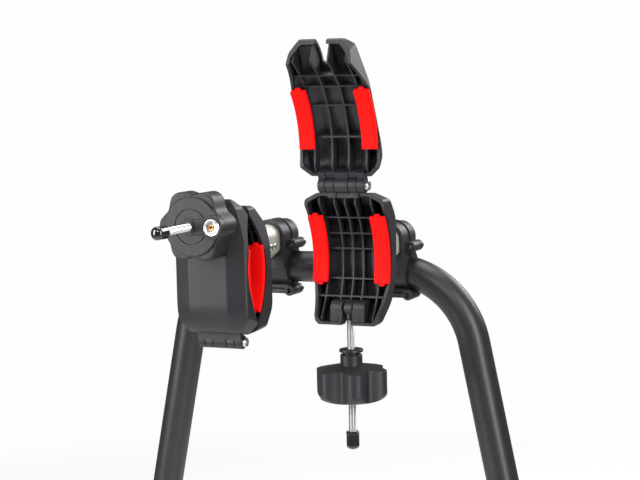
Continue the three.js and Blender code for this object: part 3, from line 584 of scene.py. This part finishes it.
def collar_front(bore):
    y0, y1 = -COLLAR_FRONT, -0.5
    arch_top = ARM_TOP + COLLAR_HALF
    side = joined(
        prism("x", circle((0, 0), COLLAR_RING, 72), -60, 60),
        prism("x", rectangle(y0, 0, 60, arch_top + 1), -60, 60),
        prism("x", rectangle(-COLLAR_RING + 2, -COLLAR_BASE, 60, -COLLAR_BASE + COLLAR_WALL), -60, 60),
        prism("x", rectangle(-COLLAR_RING / 2, -COLLAR_BASE, 60, 0), -60, 60),
    )
    front = cut(common(prism("y", arch(COLLAR_HALF, -COLLAR_BASE, radius=2.0), y0, y1 + 20), side),
                prism("y", rectangle(-60, -60, 60, 80), y1, 60))
    front = softened(front, 0.9, 2)
    waist = prism("y", arch(COLLAR_HALF + 5, -60), y0 + 7.5, -6.0, 0.8)
    groove = cut(waist, prism("y", arch(COLLAR_HALF - 1.4, -60), y0, 0))
    pocket = prism("y", arm_outline(GAP), y0 - 1, 1)
    mouth = prism("y", arm_outline(3.2), y0 - 1, y0 + 3.0, 0.5)
    body = joined(cut(front, groove), *lugs(y1 - SCREW_GRIP, y1))
    return cut(body, mouth, pocket, bore, *collar_screw_holes())


def collar_back(bore):
    y0 = 0.5
    side = joined(
        prism("x", circle((0, 0), COLLAR_RING, 72), -60, 60),
        prism("x", rectangle(-60, 0, STRAP_TOP, ARM_TOP + COLLAR_HALF - 2, 2.0), -60, 60),
        prism("x", rectangle(-60, -COLLAR_BASE, LUG_DEPTH, 0), -60, 60),
    )
    back = cut(common(prism("y", arch(STRAP_HALF, -COLLAR_BASE + 3, radius=2.0), -30, COLLAR_BACK), side),
               prism("y", rectangle(-60, -60, 60, 80), -60, y0))
    back = softened(back, 0.9, 2)
    room = prism("y", arm_outline(GAP), -1, ARM_OVER + GAP)
    return cut(joined(back, *lugs(y0, LUG_DEPTH)), room, bore, *collar_screw_holes())


def hexagon(centre, across_flats):
    return circle(centre, across_flats / math.sqrt(3), 6)


def socket_screw(axis, at, radius, height, across_flats, shank_radius, shank):
    """A socket screw: its head sits on `at` and stands along the axis, its shank goes back."""
    edge = 0.12 * radius
    lip = 0.45 * height
    head = lathe(axis, [(0, -shank), (shank_radius - 0.4, -shank), (shank_radius, -shank + 0.4),
                        (shank_radius, 0), (radius, 0), (radius, height - edge),
                        (radius - edge, height), (across_flats * 0.66, height), (0, height - 0.4)], at, 40)
    centre = {"x": (at[1], at[2]), "y": (at[0], at[2]), "z": (at[0], at[1])}[axis]
    start = {"x": at[0], "y": at[1], "z": at[2]}[axis]
    key = prism(axis, hexagon(centre, across_flats), start + height - lip, start + height + 2)
    return cut(head, key)


def pan_screw(at):
    """A domed screw with a six-sided recess, along +X."""
    radius, height = 3.5, 2.0
    dome = [(radius * math.cos(math.radians(t)), 0.5 + (height - 0.5) * math.sin(math.radians(t)))
            for t in range(0, 91, 15)]
    head = lathe("x", [(0, -7), (2, -7), (2, 0), (radius, 0), *dome[:-1], (0, height)], at, 32)
    key = prism("x", hexagon((at[1], at[2]), 2.2), at[0] + 0.7, at[0] + 5)
    return cut(head, key)


def arm(bore, screws):
    front, back = BASE_BACK + GAP, ARM_OVER
    body = prism("y", arm_outline(0), front, back, 0.6)
    hollow = prism("y", arm_outline(-ARM_WALL, 0.8), front - 1, back + 1)
    holes = [prism("x", circle((y, z), 2.15, 24), 5, 20) for y, z in screws]
    return cut(body, hollow, bore, *holes)


REAR_SCREWS = -COLLAR_FRONT - 18
FRONT_SCREWS = BASE_BACK + 12
ARM_SCREWS = {f"{end}_{place}": (y + side * ARM_SCREW_PITCH / 2, ARM_SCREW_HEIGHT)
              for end, y in (("rear", REAR_SCREWS), ("front", FRONT_SCREWS))
              for place, side in (("a", -1), ("b", 1))}


def holder(side, place):
    bore = moved(tube_along_hoop(TUBE_RADIUS + GAP), place.inverted())
    wide_bore = moved(tube_along_hoop(TUBE_RADIUS + 2 * GAP), place.inverted())
    piece(f"{side}_collar_front_half", collar_front(bore), place, NYLON, "hoop", [f"{side}_collar_front"])
    piece(f"{side}_collar_rear_strap", collar_back(bore), place, NYLON, "hoop", [f"{side}_collar_back"])
    for which, x, z in collar_screw_places():
        screw = socket_screw("y", (x, LUG_DEPTH + GAP, z), 4.5, 5.0, 4.0, 2.5, SCREW_GRIP + 7)
        piece(f"{side}_collar_screw_m5_{which}", screw, place, ZINC, "hoop", [f"{side}_collar_screw_{which}"])
    piece(f"{side}_arm_tube", arm(wide_bore, ARM_SCREWS.values()), place, ALUMINIUM, "hoop", [f"{side}_arm"])
    for which, (y, z) in ARM_SCREWS.items():
        piece(f"{side}_arm_screw_m4_{which}", pan_screw((ARM_HALF + GAP, y, z)), place, ZINC, "hoop",
              [f"{side}_arm_screw_{which}"])


# ---- jaw shells --------------------------------------------------------------------------------
# x across the jaw, y depth, z along the jaw towards the hinge; the origin is on the tube's plane.
def rim_arc(sagitta, half_chord):
    """Radius of the arc that the jaw's rim follows, from its height and half width."""
    return (sagitta ** 2 + half_chord ** 2) / (2 * sagitta)


BASE_RIM_RADIUS = rim_arc(21, 57)
COVER_RIM_RADIUS = rim_arc(18, 57)
BASE_RIM_CENTRE = BASE_RIM + 21 - BASE_RIM_RADIUS
COVER_RIM_CENTRE = COVER_RIM - 18 + COVER_RIM_RADIUS


def both_sides(right):
    """A closed outline from its right side, given from the bolt end to the hinge end."""
    left = [(-corner[0], *corner[1:]) for corner in reversed(right)]
    return rounded([*right, *left], 4)


def base_outline(inset):
    return both_sides([(31 - inset, -66 + inset, 3), (34.5 - inset, -63 + inset, 4), (43 - inset, -20, 30),
                       (44 - inset, 10, 30), (44 - inset, 63 - inset, 5), (30 - inset, 70 - inset, 4)])


def cover_outline(inset):
    return both_sides([(24 - inset, -75 + inset, 5), (33 - inset, -66 + inset, 7), (43 - inset, -20, 30),
                       (44 - inset, 10, 30), (44 - inset, 58 - inset, 6), (33 - inset, 68 - inset, 4)])


def across_jaw(profile):
    """A side view carried across the whole jaw."""
    return prism("x", profile, -60, 60)


def through_jaw(outline):
    """A front view carried through the whole jaw."""
    return prism("y", outline, -260, -60)


def base_profile(inset, set_back=None):
    """Side view of the inner half; with a set-back its rim is an arc, without it stays open."""
    top, bottom, back, end_back = 70 - inset, -66 + inset, BASE_BACK - inset, BASE_RIM + 12
    solid = [(end_back, bottom, 5), (back, -44 + inset / 2, 22), (back, 44 - inset / 2, 22),
             (end_back, top, 4)]
    if set_back is None:
        return rounded([(-300, bottom), *solid, (-300, top)], 6)
    rim, radius = BASE_RIM + set_back, BASE_RIM_RADIUS + set_back
    reach = math.degrees(math.acos((rim - BASE_RIM_CENTRE) / radius))
    hollowed = arc((BASE_RIM_CENTRE, 0), radius, reach, -reach, 44)
    return rounded([(rim, bottom), *solid, (rim, top), *hollowed], 6)


def hinge_end(inset):
    """The cover's front as it runs round the hinge end, a quarter of an ellipse, in (y, z)."""
    depth = COVER_SHOULDER - COVER_FRONT - inset
    turns = [math.radians(7.5 * i) for i in range(13)]
    return [(COVER_SHOULDER - depth * math.cos(turn), ROUND_FROM + (ROUND_REACH - inset) * math.sin(turn))
            for turn in turns]


def cover_profile(inset, set_back=None):
    """Side view of the cover, whose seat for the knob is round about the bolt's pivot."""
    seat, end = SEAT - inset, 75 - inset
    drop = math.degrees(math.asin((end - PIVOT_DISTANCE) / seat))
    seat_arc = arc((PIVOT_DEPTH, -PIVOT_DISTANCE), seat, 180, 180 + drop, 12)
    solid = [*reversed(hinge_end(inset)), *seat_arc]
    if set_back is None:
        return rounded([(-60, 68 - inset), *solid, (-60, -end)], 6)
    rim, radius = COVER_RIM - set_back, COVER_RIM_RADIUS + set_back
    reach = math.degrees(math.acos((COVER_RIM_CENTRE - rim) / radius))
    tip = PIVOT_DEPTH - SEAT * math.cos(math.radians(drop)) + END_WALL - set_back
    hollowed = arc((COVER_RIM_CENTRE, 0), radius, 180 + reach, 180 - reach, 44)
    return rounded([(rim, 68 - inset), *solid, (tip, -end), *hollowed], 6)


def cover_front(inset):
    """The cover's front: a flat panel with a facet on each side, carried round the hinge end."""
    half = [(20.8, 0), (22.3, 0.14), (23.8, 0.56), (39.0, 6.2), (40.4, 6.8), (41.5, 7.9), (42.4, 9.6),
            (45, 18)]
    across = [(-x + inset, drop) for x, drop in reversed(half)] + [(x - inset, drop) for x, drop in half]
    along = [(y + HAIR, z) for y, z in [(COVER_FRONT + inset, -100), *hinge_end(inset)]]
    shape = bmesh.new()
    faces = [[shape.verts.new((x, min(y + drop, -70), z)) for x, drop in across] for y, z in along]
    backs = [[shape.verts.new((x, -60, z)) for x, _ in across] for _, z in along]

    def quads(first, second):
        for k in range(len(first) - 1):
            shape.faces.new((first[k], first[k + 1], second[k + 1], second[k]))

    for layer in (faces, backs):
        for first, second in zip(layer, layer[1:]):
            quads(first, second)
    for end in (0, -1):
        quads(faces[end], backs[end])
        quads([row[end] for row in faces], [row[end] for row in backs])
    return finished(shape)


def tapered_at_hinge(solid, inset):
    """Cuts the cover's two hinge corners by planes through the corners of its rim."""
    slabs = []
    for side in (-1, 1):
        outward = Vector((side * 0.748, -0.332, 0.575)).normalized()
        at = Vector((side * 44, COVER_RIM, 58)) - outward * inset
        slab = prism("z", rectangle(-90, -90, 90, 90), 0, 60)
        facing = outward.to_track_quat("Z", "Y").to_matrix().to_4x4()
        slabs.append(moved(slab, Matrix.Translation(at) @ facing))
    return cut(solid, *slabs)


def long_rib(x, profile):
    return prism("x", profile, x - RIB / 2, x + RIB / 2, 0.4)


def cross_rib(z):
    return prism("z", rectangle(-60, -260, 60, -60), z - RIB / 2, z + RIB / 2)


def lug(x0, x1, side, root):
    """A hinge lug: its knuckle and the leaf that joins it to the shell."""
    knuckle = prism("x", circle((PARTING, HINGE_DISTANCE), BARREL, 40), x0, x1, 0.7, 3)
    y0 = PARTING + BARREL - 8 if side > 0 else PARTING - BARREL
    leaf = prism("x", rectangle(y0, root - 5, y0 + 8, HINGE_DISTANCE), x0, x1, 0.5)
    return joined(knuckle, leaf)


def hinge_lip(side, root, half):
    """The end wall's lip that follows the other half's knuckles, a running gap away from them."""
    near, far = sorted((PARTING + side * 1.0, PARTING + side * BARREL))
    lip = prism("x", rectangle(near, root - 5, far, HINGE_DISTANCE), -half, half)
    return cut(lip, prism("x", circle((PARTING, HINGE_DISTANCE), BARREL + 0.5, 56), -half - 1, half + 1))


def hinge_bore():
    return prism("x", circle((PARTING, HINGE_DISTANCE), HINGE_SCREW + 0.1, 32), -60, 60)


def inner_shell(arm_place):
    outer = softened(common(across_jaw(base_profile(0, 0)), through_jaw(base_outline(0))), 1.0, 3)
    hollow = common(across_jaw(base_profile(SHELL_WALL)), through_jaw(base_outline(SHELL_WALL)))
    room = common(across_jaw(base_profile(RIB_ROOT, RIB_SET_BACK)), through_jaw(base_outline(RIB_ROOT)))
    long = [common(long_rib(x, base_profile(RIB_ROOT, RIB_SET_BACK)), through_jaw(base_outline(RIB_ROOT)))
            for x in (-OUTER_RIB, -11.5, 0, 11.5, OUTER_RIB)]
    cross = [softened(common(cross_rib(z), room), 0.4, 2, 60) for z in BASE_CROSS_RIBS]
    shell = joined(cut(outer, hollow), *long, *cross)
    # the bolt's two ears, with the slot that the bolt swings through between them
    ears = joined(
        prism("x", circle((PIVOT_DEPTH, -PIVOT_DISTANCE), 9, 40), -19, 19, 0.8, 3),
        common(prism("x", rectangle(PIVOT_DEPTH, -65, BASE_BACK - 1, -PIVOT_DISTANCE + 9), -19, 19, 0.5),
               across_jaw(base_profile(1, 0))),
        prism("x", rectangle(PIVOT_DEPTH - 9, -65, PIVOT_DEPTH, -PIVOT_DISTANCE), -19, 19, 0.8, 3),
    )
    slot = joined(*(prism("x", outline, -EYE_HALF - 1, EYE_HALF + 1) for outline in (
        circle((PIVOT_DEPTH, -PIVOT_DISTANCE), EYE_RADIUS + 1, 40),
        rectangle(PIVOT_DEPTH - 60, -100, PIVOT_DEPTH + EYE_RADIUS, -PIVOT_DISTANCE),
        rectangle(-260, -PIVOT_DISTANCE - 30, PIVOT_DEPTH, -PIVOT_DISTANCE + EYE_RADIUS))))
    rounded_slot = prism("y", circle((0, -PIVOT_DISTANCE + 2), 6.6, 40), PIVOT_DEPTH - 20, PIVOT_DEPTH - 4)
    pin_bore = prism("x", circle((PIVOT_DEPTH, -PIVOT_DISTANCE), 3.1, 32), -17.3, 17.3)
    shell = cut(joined(shell, ears), slot, rounded_slot, pin_bore)
    knuckles = [lug(8, 17, 1, 70), lug(-17, -8, 1, 70)]
    spigot = prism("y", arm_outline(-ARM_WALL - 0.4, 0.8), BASE_BACK - 1, BASE_BACK + 24, 0.5)
    return cut(joined(shell, hinge_lip(1, 70, 17), *knuckles, moved(spigot, arm_place)), hinge_bore())


def cover_shell():
    outer = common(across_jaw(cover_profile(0, 0)), through_jaw(cover_outline(0)), cover_front(0))
    outer = softened(tapered_at_hinge(outer, 0), 1.2, 3, 34)
    hollow = common(across_jaw(cover_profile(SHELL_WALL)), through_jaw(cover_outline(SHELL_WALL)),
                    cover_front(SHELL_WALL))
    hollow = tapered_at_hinge(hollow, SHELL_WALL)
    block = tapered_at_hinge(prism("z", rectangle(-60, -260, 60, -60), -100, 100), RIB_ROOT)
    bounds = [through_jaw(cover_outline(RIB_ROOT)), cover_front(RIB_ROOT), block]
    rib_profile = cover_profile(RIB_ROOT, RIB_SET_BACK)
    room = common(across_jaw(rib_profile), *bounds)
    long = [common(long_rib(x, rib_profile), *bounds) for x in (-OUTER_RIB, -9, 9, OUTER_RIB)]
    cross = [softened(common(cross_rib(z), room), 0.4, 2, 60) for z in COVER_CROSS_RIBS]
    notch_end = arc((0, -NOTCH_DISTANCE), NOTCH_HALF, 180, 0, 20)
    notch = through_jaw([*notch_end, (NOTCH_HALF, -100), (-NOTCH_HALF, -100)])
    shell = joined(cut(outer, hollow), *long, *cross)
    knuckles = [lug(-7.5, 7.5, -1, 68), lug(17.5, 25.5, -1, 68), lug(-25.5, -17.5, -1, 68)]
    return cut(joined(cut(shell, notch), hinge_lip(-1, 68, 25.5), *knuckles), hinge_bore())


def pad(for_cover):
    """A rubber liner strip on the rim, with a small nub at its end and a serrated outer edge."""
    centre, rim, turn, offset, half = ((COVER_RIM_CENTRE, COVER_RIM_RADIUS, 180, -10, 33) if for_cover
                                       else (BASE_RIM_CENTRE, BASE_RIM_RADIUS, 0, 12.5, 37.5))
    outer, inner = rim - GAP, rim - GAP - PAD_THICKNESS
    turn += math.degrees(offset / rim)
    reach = math.degrees(half / rim)

    def band(low, high, start, end, steps):
        return arc((centre, 0), high, start, end, steps) + arc((centre, 0), low, end, start, steps)

    x0, x1 = PAD_EDGE - PAD_WIDTH, PAD_EDGE
    middle_x = (x0 + x1) / 2
    body = prism("x", band(inner, outer, turn - reach, turn + reach, 36), x0, x1, 1.3, 4)
    nub_spread = math.degrees((half + 2.6) / rim)
    nub_start = turn if for_cover else turn - nub_spread
    nub = prism("x", band(outer - 3.5, outer, nub_start, turn + nub_spread, 40), middle_x - 2.8, middle_x + 2.8,
                1.2, 4)
    teeth = []
    for i in range(round(-half / 2.1), round(half / 2.1) + 1):
        at = math.radians(turn) + i * 2.1 / rim
        radial = Vector((0, math.cos(at), math.sin(at)))
        along = Vector((0, -math.sin(at), math.cos(at)))
        cell = bmesh.new()
        bmesh.ops.create_cube(cell, size=1.0)
        frame_at = Matrix((Vector((1, 0, 0)), radial, along)).transposed().to_4x4()
        bmesh.ops.transform(cell, verts=cell.verts, matrix=Matrix.Translation(
            Vector((x1 - 1.5, centre, 0)) + radial * inner) @ frame_at @ Matrix.Diagonal((0.9, 1.1, 1.1, 1)))
        teeth.append(finished(cell))
    return cut(joined(body, nub), *teeth)


def hinge_screw():
    return socket_screw("x", (25.8, PARTING, HINGE_DISTANCE), 5.0, 3.5, 4.0, 3.0, 50.6)


# ---- swivel bolt and knobs, along -Y from the pivot ------------------------------------------
def thread(start, end):
    """A helical ridge of pitch THREAD_PITCH along -Y, closed at both ends."""
    steps = 20
    turns = int((end - start) / THREAD_PITCH)
    root, crest = BOLT_RADIUS - THREAD_DEPTH, BOLT_RADIUS
    ridge = [(root, 0.0), (crest, 0.42), (crest, 0.58), (root, 1.0)]
    shape = bmesh.new()
    verts = [shape.verts.new((r, -start - share * THREAD_PITCH, 0)) for r, share in ridge]
    edges = [shape.edges.new(pair) for pair in zip(verts, verts[1:])]
    bmesh.ops.spin(shape, geom=[*verts, *edges], cent=(0, 0, 0), axis=(0, 1, 0),
                   dvec=(0, -THREAD_PITCH / steps, 0), angle=math.tau * turns, steps=steps * turns,
                   use_merge=False, use_duplicate=False)
    bmesh.ops.remove_doubles(shape, verts=shape.verts, dist=0.01)
    bmesh.ops.holes_fill(shape, edges=[e for e in shape.edges if e.is_boundary], sides=0)
    return finished(shape)


def bolt_body():
    """The bolt's eye and collar, coated black as painted shade for the shadow they sit in; the threaded part is
    a piece of its own.
    """
    eye = prism("x", circle((0, 0), EYE_RADIUS, 48), -EYE_HALF, EYE_HALF, 0.8, 3)
    neck = lathe("y", [(0, 0), (0, -11.5), (BOLT_RADIUS + 1.2, -11.5), (BOLT_RADIUS + 1.4, -10.8),
                       (BOLT_RADIUS + 1.4, 0)], steps=40)
    return cut(joined(eye, neck), prism("x", circle((0, 0), 3.1, 32), -10, 10))


def bolt_pin():
    half = 17.0
    return lathe("x", [(0, -half), (2.6, -half), (3, -half + 0.4), (3, half - 0.4), (2.6, half), (0, half)],
                 steps=32)


def end_cap():
    """A dipped vinyl cap: a sleeve with a rolled lip and a domed nose."""
    start, end, radius, nose = -(BOLT_LENGTH - 14), -(BOLT_LENGTH + 5.5), 6.9, 5.0
    dome = [(radius * math.cos(math.radians(t)), end + nose - nose * math.sin(math.radians(t)))
            for t in range(0, 90, 10)]
    lip = [(BOLT_RADIUS + 0.3, start - 12), (BOLT_RADIUS + 0.3, start - 0.6), (BOLT_RADIUS + 0.9, start),
           (radius - 0.9, start), (radius, start - 0.9), (radius, start - 2.6), (radius - 0.25, start - 3.2)]
    return lathe("y", [(0, start - 12), *lip, (radius - 0.2, end + nose + 0.5), *dome[1:], (0, end)],
                 steps=48)


def thrust_washer():
    r, hole, t, e = WASHER_RADIUS, BOLT_RADIUS + 0.2, WASHER_THICKNESS, 0.6
    y = -WASHER_AT
    return lathe("y", [(hole, y), (r - e, y), (r, y - e), (r, y - t + e), (r - e, y - t), (hole, y - t)],
                 steps=64)


def lobed(radius, depth, steps=20, sharp=1.0):
    """A star of rounded lobes with narrower valleys."""
    count = KNOB_LOBES * steps
    outline = []
    for i in range(count):
        turn = math.tau * i / count
        wave = (1 - math.cos(KNOB_LOBES * turn)) / 2
        r = radius - depth * wave ** sharp
        outline.append((r * math.cos(turn), r * math.sin(turn)))
    return outline


def bolt_bore():
    return prism("y", circle((0, 0), BOLT_RADIUS + 0.2, 40), -220, 10)


def star_knob():
    """Hub with a raised ring, cone-topped body with deep lobes and rounded lower edges."""
    hub_end = -(KNOB_AT + 14)
    base = hub_end - 36
    star = prism("y", lobed(KNOB_RADIUS, 9.5, 22, 1.3), base, hub_end + 4)
    outer = KNOB_RADIUS + 0.1
    low_edge = arc((outer - 12, base + 12), 12, -90, 0, 10)
    top_edge = arc((outer - 1.2, hub_end - 5.2), 1.2, 0, 80, 4)
    turned = lathe("y", [(0, base), *low_edge, *top_edge, (13.0, hub_end + 0.5), (0, hub_end + 0.5)],
                   steps=96)
    body = softened(common(star, turned), 1.0, 3, 40)
    y = -KNOB_AT
    hub = lathe("y", [(0, y), (7.6, y), (8.2, y - 0.6), (8.2, y - 2.2), (10.7, y - 2.2), (11.5, y - 3.0),
                      (11.5, hub_end), (12.6, hub_end - 1.5), (12.6, hub_end - 6), (0, hub_end - 6)],
                steps=72)
    dish = lathe("y", [(0, base - 1), (24, base - 1), (22, base + 2.5), (9, base + 3.5), (9, base + 1.0),
                       (6.4, base + 1.0), (0, base + 1.0)], steps=72)
    return cut(joined(body, hub), dish, bolt_bore())


def locking_knob():
    """The knob with a lock: a deep lobed grip, a ringed face, and the lock's boss beside the bolt."""
    face = -(KNOB_AT + 27)
    grip = prism("y", lobed(KNOB_RADIUS, 6.4, 22, 1.2), face, -KNOB_AT, 2.2, 4)
    disk = lathe("y", [(0, face + 1), (30.5, face + 1), (30.5, face - 2.2), (29.7, face - 3), (0, face - 3)],
                 steps=96)
    ring = lathe("y", [(17.6, face - 4), (18.6, face - 4), (18.6, face - 1.6), (17.6, face - 1.6)], steps=96)
    front = face - 8
    boss = prism("y", circle((-LOCK_OFFSET, 0), 12.2, 56), front, face + 4, 1.1, 3)
    web = prism("y", rectangle(-LOCK_OFFSET, -8, 0, 8), front + 3.0, face, 0.8)
    hub = lathe("y", [(0, face), (8.6, face), (8.6, front + 2.6), (8.0, front + 2.0), (6.6, front + 2.0),
                      (6.4, front), (5.6, front), (0, front)], steps=56)
    lock_hole = prism("y", circle((-LOCK_OFFSET, 0), LOCK_RADIUS + GAP, 56), front - 5, front + 24.3)
    return cut(joined(cut(joined(grip, disk), ring), boss, web, hub), lock_hole, bolt_bore())


def lock_barrel():
    front, r = -(KNOB_AT + LOCK_FACE), LOCK_RADIUS
    return lathe("y", [(0, front + 24), (r, front + 24), (r, front + 0.8), (r - 0.8, front), (r - 2.6, front),
                       (r - 3.2, front + 0.7), (4.2, front + 0.9), (4.2, front + 7), (0, front + 7)],
                 (-LOCK_OFFSET, 0, 0), 64)


def lock_plug():
    """The brass plug in the barrel, with its key slot."""
    front = -(KNOB_AT + LOCK_FACE) + 0.9
    plug = lathe("y", [(0, front + 5.9), (4.0, front + 5.9), (4.0, front + 0.4), (3.6, front), (0, front)],
                 (-LOCK_OFFSET, 0, 0), 48)
    slot = rectangle(-LOCK_OFFSET - 3.0, -0.75, -LOCK_OFFSET + 3.0, 0.75, 0.3)
    ward = rectangle(-LOCK_OFFSET - 0.6, -1.6, -LOCK_OFFSET + 1.4, 0.2)
    return cut(plug, *(prism("y", outline, front - 1, front + 4.5) for outline in (slot, ward)))


# ---- assembly --------------------------------------------------------------------------------------
def build_hoop():
    piece("hoop_bent_tube", hoop(), Matrix(), POWDER_AND_PAINTED_SHADE, "hoop", ["hoop_tube"])
    for side, sign, centre in (("left", -1, LEFT_FOOT), ("right", 1, RIGHT_FOOT)):
        piece(f"{side}_foot_flange", foot_plate(centre), Matrix(), POWDER_AND_PAINTED_SHADE, "hoop", [f"{side}_foot_plate"])
        piece(f"{side}_foot_weld", weld_bead(sign), Matrix(), POWDER_AND_PAINTED_SHADE, "hoop")


def build_jaws():
    shell_pads = {"inner": pad(False), "cover": pad(True)}
    cover = cover_shell()
    screw = hinge_screw()
    pin = moved(bolt_pin(), Matrix.Translation((0, PIVOT_DEPTH, -PIVOT_DISTANCE)))
    bolt = bolt_body()
    ridge = thread(11.0, BOLT_LENGTH - 1)
    for side, jaw_place, cover_place, cover_body, holder_place in (
            ("left", LEFT_JAW, LEFT_JAW, "hoop", LEFT_HOLDER),
            ("right", RIGHT_JAW, RIGHT_COVER, "right_cover", RIGHT_HOLDER)):
        arm_in_jaw = jaw_place.inverted() @ holder_place
        piece(f"{side}_inner_jaw", inner_shell(arm_in_jaw), jaw_place, NYLON, "hoop", [f"{side}_inner_shell"])
        piece(f"{side}_cover_jaw", cover, cover_place, NYLON, cover_body, [f"{side}_cover"])
        for half, place, body in (("inner", jaw_place, "hoop"), ("cover", cover_place, cover_body)):
            for which, liner in (("a", mirrored(shell_pads[half])), ("b", shell_pads[half])):
                piece(f"{side}_{half}_liner_{which}", liner, place, RUBBER, body,
                      [f"{side}_{half}_pad_{which}"], 40)
        turned_screw = screw if side == "right" else mirrored(screw)
        piece(f"{side}_hinge_screw_m6", turned_screw, jaw_place, ZINC, "hoop", [f"{side}_hinge_screw"])
        piece(f"{side}_bolt_cross_pin", pin, jaw_place, ZINC, "hoop", [f"{side}_bolt_pin"])
    for side, place, grip in (("left", LEFT_BOLT, locking_knob()), ("right", RIGHT_BOLT, star_knob())):
        # the eye and collar take the black powder coat as painted shade, standing for the shadow between the
        # jaw's ears
        piece(f"{side}_bolt_eye", bolt, place, POWDER_AND_PAINTED_SHADE, f"{side}_bolt", [f"{side}_swivel_bolt"])
        piece(f"{side}_bolt_thread", ridge, place, ZINC, f"{side}_bolt", smooth=50)
        piece(f"{side}_bolt_end_cap", end_cap(), place, VINYL, f"{side}_bolt", [f"{side}_bolt_cap"])
        piece(f"{side}_knob_washer", thrust_washer(), place, DARK_NYLON, f"{side}_washer",
              [f"{side}_thrust_washer"])
        piece(f"{side}_knob_grip", grip, place, NYLON, f"{side}_knob", [f"{side}_knob"])
    piece("left_lock_cylinder", lock_barrel(), LEFT_BOLT, NICKEL, "left_lock", ["left_lock_barrel"])
    piece("left_lock_plug", lock_plug(), LEFT_BOLT, BRASS, "left_lock")


# ---- studio ------------------------------------------------------------------------------------------
VIEW_TURN = math.radians(24.0)
VIEW_TILT = math.radians(5.9)
VIEW_ROLL = math.radians(-1.27)
VIEW_DISTANCE = 1.768
VIEW_TARGET = Vector((-0.0062, 0, 0.5505))
LENS = 87.98


def camera():
    back = Vector((math.sin(VIEW_TURN) * math.cos(VIEW_TILT), -math.cos(VIEW_TURN) * math.cos(VIEW_TILT),
                   math.sin(VIEW_TILT)))
    level = Vector((math.cos(VIEW_TURN), math.sin(VIEW_TURN), 0))
    upright = back.cross(level)
    across = level * math.cos(VIEW_ROLL) + upright * math.sin(VIEW_ROLL)
    above = upright * math.cos(VIEW_ROLL) - level * math.sin(VIEW_ROLL)
    data = bpy.data.cameras.new("view")
    data.lens = LENS
    data.sensor_width = 36
    made = bpy.data.objects.new("view", data)
    turned = Matrix((across, above, back)).transposed().to_4x4()
    made.matrix_world = Matrix.Translation(VIEW_TARGET + back * VIEW_DISTANCE) @ turned
    bpy.context.scene.collection.objects.link(made)
    bpy.context.scene.camera = made


def soft_box(name, at, target, size, power):
    data = bpy.data.lights.new(name, "AREA")
    data.shape = "RECTANGLE"
    data.size, data.size_y = size
    data.energy = power
    made = bpy.data.objects.new(name, data)
    aim = (Vector(target) - Vector(at)).to_track_quat("-Z", "Y").to_matrix().to_4x4()
    made.matrix_world = Matrix.Translation(at) @ aim
    bpy.context.scene.collection.objects.link(made)


def floor():
    """A pale round floor that fades into the white surroundings."""
    shape = bmesh.new()
    bmesh.ops.create_circle(shape, cap_ends=True, segments=96, radius=4.0)
    mesh = bpy.data.meshes.new("floor")
    shape.to_mesh(mesh)
    shape.free()
    made = bpy.data.objects.new("floor", mesh)
    bpy.context.scene.collection.objects.link(made)
    pale = Finish("pale floor", Base_Color=(0.86, 0.86, 0.86, 1), Roughness=0.8, Specular_IOR_Level=0.2)
    far = pale.node("ShaderNodeVectorMath", {"operation": "LENGTH"}, output=1, Vector=pale.place)
    pale.paint(Alpha=1.0 - clipped(far, 0.35, 1.5))
    mesh.materials.append(pale.material)


def studio():
    scene = bpy.context.scene
    scene.view_settings.view_transform = "Standard"
    world = bpy.data.worlds.new("studio")
    world.use_nodes = True
    nodes, links = world.node_tree.nodes, world.node_tree.links
    shown, lit = nodes["Background"], nodes.new("ShaderNodeBackground")
    shown.inputs["Color"].default_value = (0.985, 0.985, 0.985, 1)
    lit.inputs["Color"].default_value = (1, 1, 1, 1)
    lit.inputs["Strength"].default_value = 0.16
    seen = nodes.new("ShaderNodeLightPath")
    either = nodes.new("ShaderNodeMixShader")
    links.new(seen.outputs["Is Camera Ray"], either.inputs["Fac"])
    links.new(lit.outputs[0], either.inputs[1])
    links.new(shown.outputs[0], either.inputs[2])
    links.new(either.outputs[0], nodes["World Output"].inputs["Surface"])
    scene.world = world
    target = (0, -0.08, 0.55)
    soft_box("key", (-1.15, -1.5, 0.95), target, (0.55, 1.7), 38)
    soft_box("fill", (1.5, -1.0, 0.9), target, (0.4, 1.7), 30)
    soft_box("front", (0.25, -2.1, 1.7), target, (0.9, 0.35), 16)
    soft_box("rim", (0.9, 1.6, 1.5), target, (1.4, 0.9), 26)
    soft_box("top", (0, 0.1, 2.0), target, (1.2, 1.2), 24)
    floor()
    camera()


build_hoop()
holder("left", LEFT_HOLDER)
holder("right", RIGHT_HOLDER)
build_jaws()
studio()
